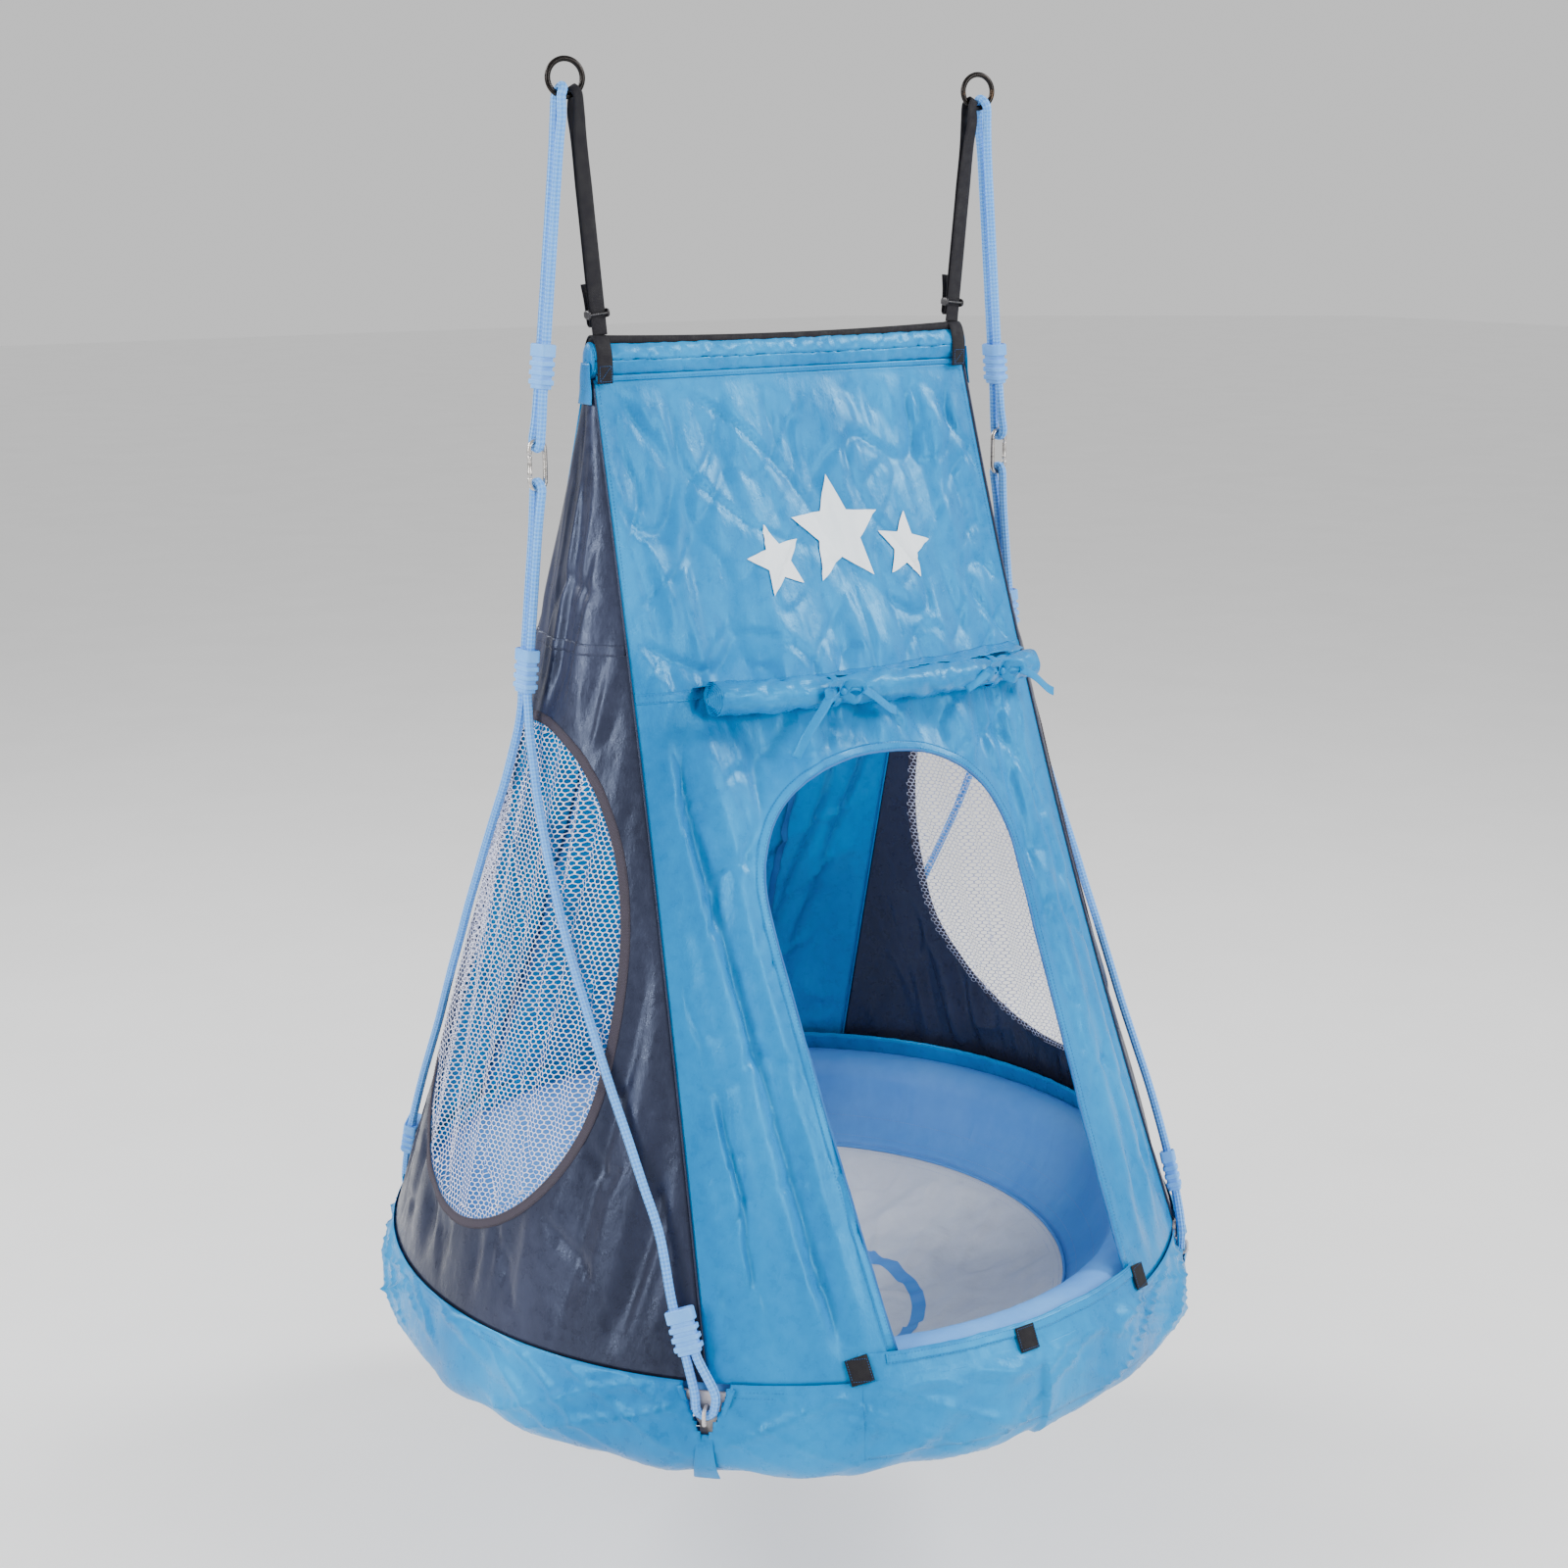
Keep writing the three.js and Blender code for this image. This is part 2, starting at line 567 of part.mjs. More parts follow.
function strapStations(sign) {
  const loop = onRing(sign, degrees(-34));
  const bend = 9.9;
  const topX = sign * loop.wire.x;
  const strapX = (z) => sign * mix(STRAP_LOW.x, topX, (z - STRAP_LOW.z) / (loop.wire.z - STRAP_LOW.z));
  const straight = (layer, z, spread = STRAP_SPLIT) => ({
    at: vec(strapX(z), layer * spread, z),
    wide: vec(1, 0, 0),
    half: STRAP_HALF,
  });
  const wide = loop.along.clone().multiplyScalar(sign);
  const over = halfTurn(loop.wire, ringOut, loop.up, bend).map((at) => ({ at, wide, half: 6.5 }));
  const run = (layer) => [
    straight(layer, 1340),
    straight(layer, 1450),
    { ...straight(layer, 1510, 4), half: 9.5 },
    { ...straight(layer, 1538, 7.5), half: 8 },
  ];
  const tail = [[6.0, 1276.5], [8.6, 1279], [9.4, 1290], [11, 1310], [15, 1330]];
  return [
    straight(-1, STRAP_LOW.z),
    ...run(-1),
    ...over,
    ...run(1).reverse(),
    straight(1, 1282),
    straight(1, 1277.5, 3.4),
    ...tail.map(([y, z]) => straight(1, z, y)),
  ];
}

function strapSlider() {
  const slot = (y) => [[-12, y - 1.5], [12, y - 1.5], [12, y + 1.5], [-12, y + 1.5]];
  const plate = [[-15, -5.8], [15, -5.8], [15, 5.8], [-15, 5.8]];
  const body = outline(plate, slot(-STRAP_SPLIT), slot(STRAP_SPLIT));
  return prism(body, 9).translate(0, 0, -4.5);
}

for (const [side, sign] of Object.entries(SIDES)) {
  const stations = strapStations(sign);
  addPart("tent_strap_" + side, band(stations, 1.8), WEBBING());
  const foot = stations[0].at.clone().setY(0);
  const along = stations[1].at.clone().setY(0).sub(foot).normalize();
  const across = vec(0, 1, 0).cross(along);
  const at = foot.clone().addScaledVector(along, 27);
  const place = new THREE.Matrix4().makeBasis(across, vec(0, 1, 0), along).setPosition(at);
  addPart("strap_slider_" + side, strapSlider(), soft(0x18171a, 0.4), place);
}

// ---------------------------------------------------------------- seat: steel ring, padding, cover, middle
const outerTube = ngon(8, TUBE_R);
const innerTube = ngon(6, 12);
const boltR = SEAT_R * Math.cos(STEP / 2); // the steel ring is straight where the lugs are bolted
const JOINT_GAP = degrees(0.05);

// A tool along Z at every lug, at a distance from the swing's axis.
function atLugs(make) {
  const tools = [];
  for (const sign of Object.values(SIDES)) {
    for (const end of Object.values(ENDS)) tools.push(make().rotateZ(cornerTurn(sign, end)));
  }
  return tools;
}

const boltHole = () => prism(outline(ngon(8, 4.7)), 10).translate(boltR, 0, -16);
for (const [where, from] of [["front", -90], ["back", 90]]) {
  const path = ringPath(SEAT_R, degrees(from) + JOINT_GAP, degrees(from + 180) - JOINT_GAP);
  const arc = tube(path, outline(outerTube, innerTube));
  addPart("steel_ring_" + where, cut(arc, ...atLugs(boltHole)), STEEL());
}
for (const [side, sign] of Object.entries(SIDES)) {
  const path = ringPath(SEAT_R, sign * degrees(90) - degrees(6), sign * degrees(90) + degrees(6));
  addPart("ring_sleeve_" + side, tube(path, outline(ngon(6, 11.4), ngon(6, 9.4))), STEEL());
}
for (const [name, middle] of [["front", 0], ["right", 90], ["back", 180], ["left", 270]]) {
  const path = ringPath(SEAT_R, degrees(middle - 40), degrees(middle + 40));
  addPart("foam_" + name, tube(path, outline(ngon(8, FOAM_R), ngon(6, 16.9))), FOAM());
}

const coverArc = ellipseArc([SEAT_R, 0], COVER_R, COVER_R, degrees(-10), degrees(180), 6);
const coverLine = [...coverArc, [469, -22], [451, -50], BORDER_IN];
addPart("seat_cover", turned(stripOutline(coverLine, 2.4)), SEAT_BORDER());

function seatMiddle() {
  const line = [[409.4, -85.1], [320, -130], [210, -160], [100, -175], [0, -SEAT_SAG]];
  const half = 1.2;
  const lower = line.map(([r, z]) => [r, z - half]);
  return turned([...line.map(([r, z]) => [r, z + half]), ...lower.reverse()]);
}
addPart("seat_middle", seatMiddle(), SEAT_MIDDLE());

// ---------------------------------------------------------------- lugs, in a frame with X outwards
function lugBracket() {
  const plate = [[-31, 0], [-29, 6], [29, 6], [31, 0], [9, -38], [8, -50], [-8, -50], [-9, -38]];
  const sheet = prism(outline(plate, ngon(6, 2.2, 0, [25, 0])), LUG_SHEET).translate(0, 0, -LUG_SHEET / 2);
  const upright = sheet.rotateX(Math.PI / 2).rotateZ(Math.PI / 2).translate(LUG_R, 0, 0);
  const tongueLine = [[565, -46], [563, -52], [556, -55], [548, -50], [533, -27], [525, -17], [500, -16.7]];
  const bent = outline(stripOutline(tongueLine, LUG_SHEET));
  const tongue = prism(bent, 15).translate(0, 0, -7.5).rotateX(Math.PI / 2);
  const wire = 2.5;
  const [near, far] = [579, 584];
  const [high, low] = [-12.3, -32];
  const eyeLine = [[565, high], [near, high], [far - 1.4, high - 1.4], [far, high - 5], [far, low + 5],
    [far - 1.4, low + 1.4], [near, low], [565, low]].map(([x, z]) => vec(x, 0, z));
  const eye = tube(eyeLine, outline(ngon(8, wire)));
  const hole = prism(outline(ngon(8, 4.7)), 12).translate(boltR, 0, -22);
  return cut(join(upright, tongue, eye), hole);
}

// M8 bolt from below, through the lug's tongue and into the steel ring.
function lugBolt() {
  const shank = prism(outline(ngon(8, 4)), 25).translate(boltR, 0, -20.5);
  const head = prism(outline(ngon(6, 7.5)), 5.3).translate(boltR, 0, -25);
  return join(shank, head);
}

for (const [side, sign] of Object.entries(SIDES)) {
  for (const [where, end] of Object.entries(ENDS)) {
    const place = new THREE.Matrix4().makeRotationZ(cornerTurn(sign, end));
    addPart("lug_" + where + "_" + side, lugBracket(), STEEL(), place);
    addPart("lug_bolt_" + where + "_" + side, lugBolt(), STEEL(), place);
  }
}

// ---------------------------------------------------------------- rolled door flap, ties, tabs
const ROLL_R = 20;
const rollHeight = (x) => 800 - 0.03 * x;
const rollAxis = (x) => {
  const { at, out } = onFront(x, rollHeight(x));
  return at.addScaledVector(out, ROLL_R + 6.5);
};
const rollSteps = [-240, -150, -60, 30, 120, 210, 290];
addPart("door_flap_roll", tube(rollSteps.map(rollAxis), outline(ngon(10, ROLL_R))), TENT_BLUE());

for (const [side, x] of [["left", -66], ["right", 215]]) {
  const along = rollAxis(x + 4).sub(rollAxis(x - 4)).normalize();
  const back = onFront(x, rollHeight(x)).out.negate();
  back.addScaledVector(along, -back.dot(along)).normalize();
  const basis = new THREE.Matrix4().makeBasis(back, along.clone().cross(back), along);
  const place = basis.setPosition(rollAxis(x));
  const tie = prism(outline(ngon(12, 23.6), ngon(12, 21.9)), 12).translate(0, 0, -6);
  addPart("door_tie_" + side, tie, TENT_BLUE(), place);
}

// Hook-and-loop tabs on the sill below the door.
for (const [name, angle] of [["left", -26], ["middle", -2], ["right", 23]]) {
  const radius = 555;
  const { at, out, across } = onFront(radius * Math.sin(degrees(angle)), 31);
  const up = out.clone().cross(across);
  const place = new THREE.Matrix4().makeBasis(across, up, out).setPosition(at.addScaledVector(out, 3.2));
  const tab = prism(outline([[-14, -13], [14, -13], [14, 13], [-14, 13]]), 1.6).translate(0, 0, -0.8);
  addPart("door_tab_" + name, tab, WEBBING(), place);
}

export default swing;
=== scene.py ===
"""The looks of a saucer nest swing with a play tent over it.

All the making is in millimetres, with z = 0 at the level of the seat's steel ring. metres() turns that into
the part's own frame, whose origin is halfway between the two hang rings.
"""
import math

import bpy
import numpy as np
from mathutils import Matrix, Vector


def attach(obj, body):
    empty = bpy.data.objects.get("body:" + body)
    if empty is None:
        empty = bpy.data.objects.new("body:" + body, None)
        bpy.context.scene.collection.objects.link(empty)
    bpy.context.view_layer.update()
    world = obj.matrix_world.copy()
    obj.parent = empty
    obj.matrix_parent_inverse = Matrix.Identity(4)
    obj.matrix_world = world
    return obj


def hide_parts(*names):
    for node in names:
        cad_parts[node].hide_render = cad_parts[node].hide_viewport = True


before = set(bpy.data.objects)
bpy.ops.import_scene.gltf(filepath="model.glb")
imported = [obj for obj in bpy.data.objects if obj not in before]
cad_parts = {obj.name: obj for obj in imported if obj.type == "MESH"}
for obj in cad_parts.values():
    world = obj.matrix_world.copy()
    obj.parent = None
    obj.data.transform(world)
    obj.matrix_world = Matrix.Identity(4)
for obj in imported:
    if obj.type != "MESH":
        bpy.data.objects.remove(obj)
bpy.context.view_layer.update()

HANG = 1580.0
SIDES = {"left": -1, "right": 1}
ENDS = {"front": -1, "back": 1}
CORNERS = [(where, side, end, sign) for side, sign in SIDES.items() for where, end in ENDS.items()]
SIDE_QUARTERS = {"left": 3, "right": 1}
C45 = math.sqrt(0.5)
TAU = 2 * math.pi
rad = math.radians


def metres(p):
    p = np.asarray(p, float) / 1000
    p[..., 2] -= HANG / 1000
    return p


def v3(*p):
    return np.array(p, float)


def unit(v):
    v = np.asarray(v, float)
    return v / np.maximum(np.linalg.norm(v, axis=-1, keepdims=True), 1e-9)


def mix(a, b, t):
    return a + (b - a) * t


def smooth(t):
    t = np.clip(t, 0, 1)
    return t * t * (3 - 2 * t)


def turns(count):
    """Angles round a full circle."""
    return np.linspace(0, TAU, count, endpoint=False)


# ---------- camera and light
cam = bpy.data.objects.new("camera", bpy.data.cameras.new("camera"))
bpy.context.collection.objects.link(cam)
cam.location = (-1.8, -2.542, -0.144)
aim = Vector((0, 0, -0.88)) - cam.location
cam.rotation_euler = aim.to_track_quat("-Z", "Y").to_euler()
cam.data.lens = 52.54
cam.data.sensor_width = 36
cam.data.shift_y = -0.029
cam.data.clip_end = 40
bpy.context.scene.camera = cam

FLOOR_Z = -2.15


def area_light(name, at, target, size, watts):
    data = bpy.data.lights.new(name, "AREA")
    data.shape = "RECTANGLE"
    data.size, data.size_y = size
    data.energy = watts
    o = bpy.data.objects.new(name, data)
    o.location = at
    o.rotation_euler = (Vector(target) - Vector(at)).to_track_quat("-Z", "Y").to_euler()
    o.visible_camera = False
    bpy.context.collection.objects.link(o)


area_light("key", (3.4, -2.0, 2.2), (0, 0, -0.8), (0.9, 1.6), 205)
area_light("fill", (1.0, -4.2, 0.5), (0, 0, -1.1), (1.4, 1.4), 105)
area_light("back", (-2.6, 3.0, 1.8), (0, 0, -0.9), (1.2, 1.6), 150)
area_light("left", (-3.7, -0.5, 0.4), (0, 0, -1.2), (0.6, 2.4), 120)
# thin cloth lets daylight into the tent: a weak light under the ridge stands for it
area_light("inside", (0, 0.01, -0.74), (0, 0.05, -1.6), (0.34, 0.05), 2.0)
world = bpy.data.worlds.new("studio")
world.use_nodes = True
world.node_tree.nodes["Background"].inputs["Color"].default_value = (1, 1, 1, 1)
world.node_tree.nodes["Background"].inputs["Strength"].default_value = 0.78
bpy.context.scene.world = world


# ---------- materials
def srgb(r, g, b):
    f = lambda c: c / 12.92 if c <= 0.04045 else ((c + 0.055) / 1.055) ** 2.4
    return (f(r / 255), f(g / 255), f(b / 255), 1.0)


def grey(value):
    return (value, value, value, 1)


class Nodes:
    """A material's node tree, with short calls to add nodes and link them."""

    def __init__(self, name):
        self.mat = bpy.data.materials.new(name)
        self.mat.use_nodes = True
        self.tree = self.mat.node_tree
        self.bsdf = self.tree.nodes["Principled BSDF"]

    def feed(self, socket, value):
        """Links another node's output to a socket, or writes a plain value on it."""
        if isinstance(value, bpy.types.NodeSocket):
            self.tree.links.new(value, socket)
        else:
            socket.default_value = value

    def shade(self, **inputs):
        """Feeds the shader's own sockets and gives back the material."""
        for key, value in inputs.items():
            self.feed(self.bsdf.inputs[key.replace("_", " ")], value)
        return self.mat

    def node(self, kind, **inputs):
        n = self.tree.nodes.new(kind)
        for key, value in inputs.items():
            self.feed(n.inputs[key.replace("_", " ")], value)
        return n

    def math(self, operation, a, b):
        n = self.tree.nodes.new("ShaderNodeMath")
        n.operation = operation
        for socket, value in zip(n.inputs, (a, b)):
            self.feed(socket, value)
        return n.outputs[0]

    def total(self, *shares):
        """The sum of several outputs, each times its share."""
        parts = [self.math("MULTIPLY", output, share) for output, share in shares]
        result = parts[0]
        for part in parts[1:]:
            result = self.math("ADD", result, part)
        return result

    def blend(self, kind, fac, a, b):
        n = self.tree.nodes.new("ShaderNodeMix")
        n.data_type = "RGBA"
        n.blend_type = kind
        for index, value in ((0, fac), (6, a), (7, b)):
            self.feed(n.inputs[index], value)
        return n.outputs[2]

    def coords(self, uv=False, scale=(1, 1, 1), turn=0.0):
        source = self.tree.nodes.new("ShaderNodeTexCoord")
        place = source.outputs["UV" if uv else "Object"]
        return self.node("ShaderNodeMapping", Vector=place, Rotation=(0, 0, turn), Scale=scale).outputs[0]

    def noise(self, coords, scale, detail=3.0, rough=0.55, kind="FBM"):
        n = self.node("ShaderNodeTexNoise", Vector=coords, Scale=scale, Detail=detail, Roughness=rough)
        n.noise_type = kind
        return n.outputs["Fac"]

    def ramp(self, fac, *stops):
        n = self.tree.nodes.new("ShaderNodeValToRGB")
        self.feed(n.inputs["Fac"], fac)
        e = n.color_ramp.elements
        while len(e) < len(stops):
            e.new(0.5)
        for item, (place, colour) in zip(e, stops):
            item.position = place
            item.color = colour
        return n.outputs["Color"]

    def spread(self, fac, low, high):
        """A grey value from low to high as fac rises, for roughness."""
        return self.ramp(fac, (0.3, grey(low)), (0.7, grey(high)))

    def waves(self, coords, scale, direction):
        n = self.node("ShaderNodeTexWave", Vector=coords, Scale=scale, Distortion=0.0)
        n.bands_direction = direction
        return n.outputs["Fac"]

    def bump(self, height, strength, distance, after=None):
        n = self.node("ShaderNodeBump", Height=height, Strength=strength, Distance=distance)
        if after is not None:
            self.feed(n.inputs["Normal"], after)
        return n.outputs["Normal"]


def cloth(name, dark, mid, light, rough, weave=0.0009, fold=0.5, spec=0.5, tint=(1, 1, 1, 1), crease=0.35):
    """Woven cloth: colour darker and lighter in tall soft streaks, which are painted fold shade and
    highlight, with a little random tone; a fine plain weave with painted shade between its threads; and small
    creases.
    """
    n = Nodes(name)
    # painted fold shade and highlight: tall soft streaks of darker and lighter colour, not tied to the shaped
    # folds
    painted_fold_shade = n.noise(n.coords(scale=(1, 1, 0.45)), 5.0, 4.0)
    fine = n.noise(n.coords(), 60.0, 4.0)
    colour = n.ramp(n.total((painted_fold_shade, 0.8), (fine, 0.2)), (0.30, dark), (0.5, mid), (0.70, light))
    grid = n.coords(uv=True)
    cycles = math.pi / 10 / weave
    thread = n.math("MULTIPLY", n.waves(grid, cycles, "X"), n.waves(grid, cycles, "Y"))
    # painted shade between the threads: the weave's low places are darker
    painted_thread_shade = n.ramp(thread, (0.0, grey(0.55)), (1.0, grey(1)))
    creases = n.noise(n.coords(scale=(1, 1, 0.5), turn=0.3), 16.0, 5.0, 0.6)
    ridged = n.noise(n.coords(scale=(1, 1, 0.42), turn=0.5), 7.0, 3.0, 0.6, "RIDGED_MULTIFRACTAL")
    relief = n.bump(thread, 0.12, 0.0004)
    relief = n.bump(creases, fold, 0.006, relief)
    relief = n.bump(n.ramp(ridged, (0.55, grey(0)), (0.95, grey(1))), crease, 0.005, relief)
    return n.shade(Base_Color=n.blend("MULTIPLY", 0.12, colour, painted_thread_shade), Normal=relief, Specular_Tint=tint,
                   Roughness=n.spread(fine, rough - 0.08, rough + 0.1), Specular_IOR_Level=spec)


def webbing(name, dark, light):
    """Ribbed woven tape, with painted shade in the grooves between the ribs."""
    n = Nodes(name)
    uv = n.coords(uv=True)
    ribs = n.waves(uv, math.pi / 5 / 0.0024, "DIAGONAL")
    across = n.waves(uv, math.pi / 10 / 0.0018, "X")
    both = n.total((ribs, 0.6), (across, 0.4))
    wear = n.noise(n.coords(), 90.0, 4.0)
    # painted shade: the colour is darker in the grooves between the ribs; wear adds random tone
    colour = n.ramp(n.total((both, 0.55), (wear, 0.45)), (0.25, dark), (0.75, light))
    return n.shade(Base_Color=colour, Roughness=n.spread(wear, 0.62, 0.85), Normal=n.bump(both, 0.5, 0.0006),
                   Specular_IOR_Level=0.3)


def braid(name, dark, light):
    """A braided rope: diamonds that wind both ways, with painted shade in the grooves between them. UV x runs
    along it, in metres, and y round it, 0 to 1.
    """
    n = Nodes(name)
    uv = n.tree.nodes.new("ShaderNodeTexCoord").outputs["UV"]
    split = n.node("ShaderNodeSeparateXYZ", Vector=uv)
    along = n.math("MULTIPLY", split.outputs["X"], TAU / 0.0105)
    round_ = n.math("MULTIPLY", split.outputs["Y"], TAU * 4)
    one = n.math("SINE", n.math("ADD", round_, along), 0)
    other = n.math("SINE", n.math("SUBTRACT", round_, along), 0)
    height = n.math("ADD", n.math("MULTIPLY", n.math("MULTIPLY", one, other), 0.5), 0.5)
    fibres = n.noise(n.coords(), 400.0, 4.0)
    drift = n.noise(n.coords(), 14.0, 3.0)
    # painted shade: the grooves between plaits are darker; fibres and drift add random tone
    colour = n.ramp(n.total((height, 0.5), (fibres, 0.3), (drift, 0.2)), (0.2, dark), (0.75, light))
    relief = n.bump(fibres, 0.25, 0.0004, n.bump(height, 0.9, 0.0012))
    return n.shade(Base_Color=colour, Roughness=n.spread(fibres, 0.6, 0.8), Normal=relief,
                   Specular_IOR_Level=0.3)


def plastic(name, dark, light, rough):
    n = Nodes(name)
    spots = n.noise(n.coords(), 35.0, 4.0)
    skin = n.noise(n.coords(), 900.0, 2.0)
    return n.shade(Base_Color=n.ramp(spots, (0.3, dark), (0.7, light)), Normal=n.bump(skin, 0.25, 0.0003),
                   Roughness=n.spread(skin, rough - 0.05, rough + 0.1))


def metal(name, dark, light, rough, worn=None, metallic=1.0):
    """Metal with fine scratches, and spots of a worn colour where worn is given."""
    n = Nodes(name)
    smear = n.noise(n.coords(scale=(1, 1, 6)), 60.0, 5.0)
    scratch = n.noise(n.coords(scale=(12, 1, 1)), 300.0, 3.0)
    colour = n.ramp(smear, (0.3, dark), (0.7, light))
    if worn is not None:
        spots = n.ramp(n.noise(n.coords(), 45.0, 3.0), (0.55, grey(0)), (0.85, grey(1)))
        colour = n.blend("MIX", spots, colour, worn)
    return n.shade(Base_Color=colour, Roughness=n.spread(smear, rough - 0.08, rough + 0.1),
                   Normal=n.bump(scratch, 0.12, 0.0003), Metallic=metallic)


BLUE = cloth("blue_nylon", srgb(0, 102, 164), srgb(0, 126, 190), srgb(0, 144, 208), rough=0.31, spec=0.55,
             tint=(0.10, 0.62, 1.0, 1.0))
GREY = cloth("grey_nylon", srgb(30, 32, 46), srgb(40, 43, 60), srgb(52, 56, 76), rough=0.30, spec=0.42,
             tint=(0.55, 0.68, 1.0, 1.0))
BORDER = cloth("seat_border_cloth", srgb(70, 138, 214), srgb(84, 150, 222), srgb(98, 162, 228), rough=0.6,
               spec=0.3, fold=0.35, crease=0.1)
MIDDLE = cloth("seat_middle_cloth", srgb(196, 200, 210), srgb(212, 215, 222), srgb(226, 228, 232),
               rough=0.7, spec=0.3, weave=0.0016, fold=0.6, crease=0.15)
NET = plastic("net_thread", srgb(196, 200, 226), srgb(222, 222, 240), 0.6)
BLACK = webbing("black_webbing", srgb(5, 5, 8), srgb(26, 24, 32))
BROWN = webbing("window_tape", srgb(40, 36, 46), srgb(70, 64, 76))
TAB = webbing("hook_tape", srgb(5, 5, 8), srgb(24, 22, 30))
ROPE = braid("rope_braid", srgb(56, 136, 228), srgb(118, 184, 248))
CLAMP = plastic("clamp_moulding", srgb(82, 156, 232), srgb(106, 174, 242), 0.5)
SLIDER = plastic("slider_moulding", srgb(20, 19, 22), srgb(40, 38, 42), 0.35)
ROD = plastic("glass_fibre_rod", srgb(110, 110, 112), srgb(150, 150, 152), 0.4)
RING = metal("blackened_steel", srgb(20, 19, 19), srgb(38, 34, 32), 0.28, worn=srgb(84, 62, 38), metallic=0.8)
ZINC = metal("zinc_plate", srgb(168, 164, 160), srgb(204, 200, 196), 0.3)
LUG = metal("lug_paint", srgb(176, 168, 166), srgb(204, 196, 192), 0.42, metallic=0.25)
FOAM = cloth("foam_skin", srgb(44, 44, 48), srgb(56, 56, 60), srgb(70, 70, 74), rough=0.8, weave=0.003,
             spec=0.2)
PRINT = cloth("white_print", srgb(226, 238, 246), srgb(238, 246, 252), srgb(248, 252, 255), rough=0.5,
              crease=0.2)
THREAD_BLUE = plastic("blue_thread", srgb(0, 84, 150), srgb(0, 104, 172), 0.6)
THREAD_DARK = plastic("dark_thread", srgb(40, 38, 46), srgb(62, 58, 68), 0.6)
THREAD_PALE = plastic("pale_thread", srgb(120, 146, 196), srgb(150, 172, 214), 0.6)

# the finish slot that goes with each material; a sewing thread has none of its own
FINISHES = {
    "blue_nylon": "tent_blue",
    "white_print": "tent_blue",
    "grey_nylon": "tent_grey",
    "seat_border_cloth": "seat_border",
    "seat_middle_cloth": "seat_middle",
    "net_thread": "window_mesh",
    "black_webbing": "webbing",
    "window_tape": "webbing",
    "hook_tape": "webbing",
    "rope_braid": "rope",
    "clamp_moulding": "clamp_plastic",
    "slider_moulding": "slider_plastic",
    "blackened_steel": "black_steel",
    "zinc_plate": "steel",
    "foam_skin": "foam",
}


# ---------- mesh tools
def piece(name, points, faces, material, uv=None, body="swing", stands_for=None, finish=None, thick=0.0,
          soft=True):
    """A new object from points in mm, with one pair of uv a point. thick adds a Solidify of that many mm."""
    mesh = bpy.data.meshes.new(name)
    mesh.from_pydata([tuple(p) for p in metres(points).reshape(-1, 3)], [], faces)
    mesh.validate()
    if uv is not None:
        layer = mesh.uv_layers.new(name="UVMap")
        index = np.empty(len(mesh.loops), int)
        mesh.loops.foreach_get("vertex_index", index)
        layer.data.foreach_set("uv", np.asarray(uv, float)[index].ravel())
    mesh.polygons.foreach_set("use_smooth", [soft] * len(mesh.polygons))
    mesh.materials.append(material)
    o = bpy.data.objects.new(name, mesh)
    bpy.context.collection.objects.link(o)
    if thick:
        m = o.modifiers.new("thickness", "SOLIDIFY")
        m.thickness = thick / 1000
        m.offset = 0
    if stands_for:
        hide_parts(stands_for)
    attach(o, body)
    finish = finish or FINISHES.get(material.name)
    return o


def grid_faces(rows, cols, wrap=False):
    faces = []
    last = cols if wrap else cols - 1
    for i in range(rows - 1):
        for j in range(last):
            k = (j + 1) % cols
            faces.append((i * cols + j, i * cols + k, (i + 1) * cols + k, (i + 1) * cols + j))
    return faces


def surface(name, points, material, uv, wrap=False, **rest):
    """A piece from a grid of points, rows by columns."""
    rows, cols = points.shape[:2]
    return piece(name, points, grid_faces(rows, cols, wrap), material, uv, **rest)


def pairs(x, y):
    """Two grids of numbers as one list of [x, y]."""
    return np.stack(np.broadcast_arrays(x, y), -1).reshape(-1, 2)


def around(radius, angle, z):
    """Points at a radius and an angle, which runs from the front towards the right."""
    return np.stack(np.broadcast_arrays(radius * np.sin(angle), -radius * np.cos(angle), z), -1)


def round_edges(o, width, angle=30):
    """A small bevel, width in mm, on the edges sharper than an angle in degrees."""
    m = o.modifiers.new("edges", "BEVEL")
    m.width = width / 1000
    m.segments = 2
    m.limit_method = "ANGLE"
    m.angle_limit = rad(angle)


_perm = np.random.RandomState(11).permutation(256)
_grad = np.random.RandomState(12).uniform(0, TAU, 256)


def noise(x, y, seed=0):
    """Smooth gradient noise, about -0.7 to 0.7."""
    x, y = np.broadcast_arrays(np.asarray(x, float), np.asarray(y, float))
    x0, y0 = np.floor(x).astype(int), np.floor(y).astype(int)
    fx, fy = x - x0, y - y0
    u, w = smooth(fx), smooth(fy)

    def corner(i, j):
        h = _perm[(_perm[(x0 + i + seed * 37) % 256] + y0 + j) % 256]
        return np.cos(_grad[h]) * (fx - i) + np.sin(_grad[h]) * (fy - j)

    low = mix(corner(0, 0), corner(1, 0), u)
    high = mix(corner(0, 1), corner(1, 1), u)
    return mix(low, high, w)


def crease(x, y, seed=0, width=0.12):
    """1 along thin wandering lines, 0 elsewhere."""
    return np.clip(1 - np.abs(noise(x, y, seed)) / width, 0, 1) ** 2


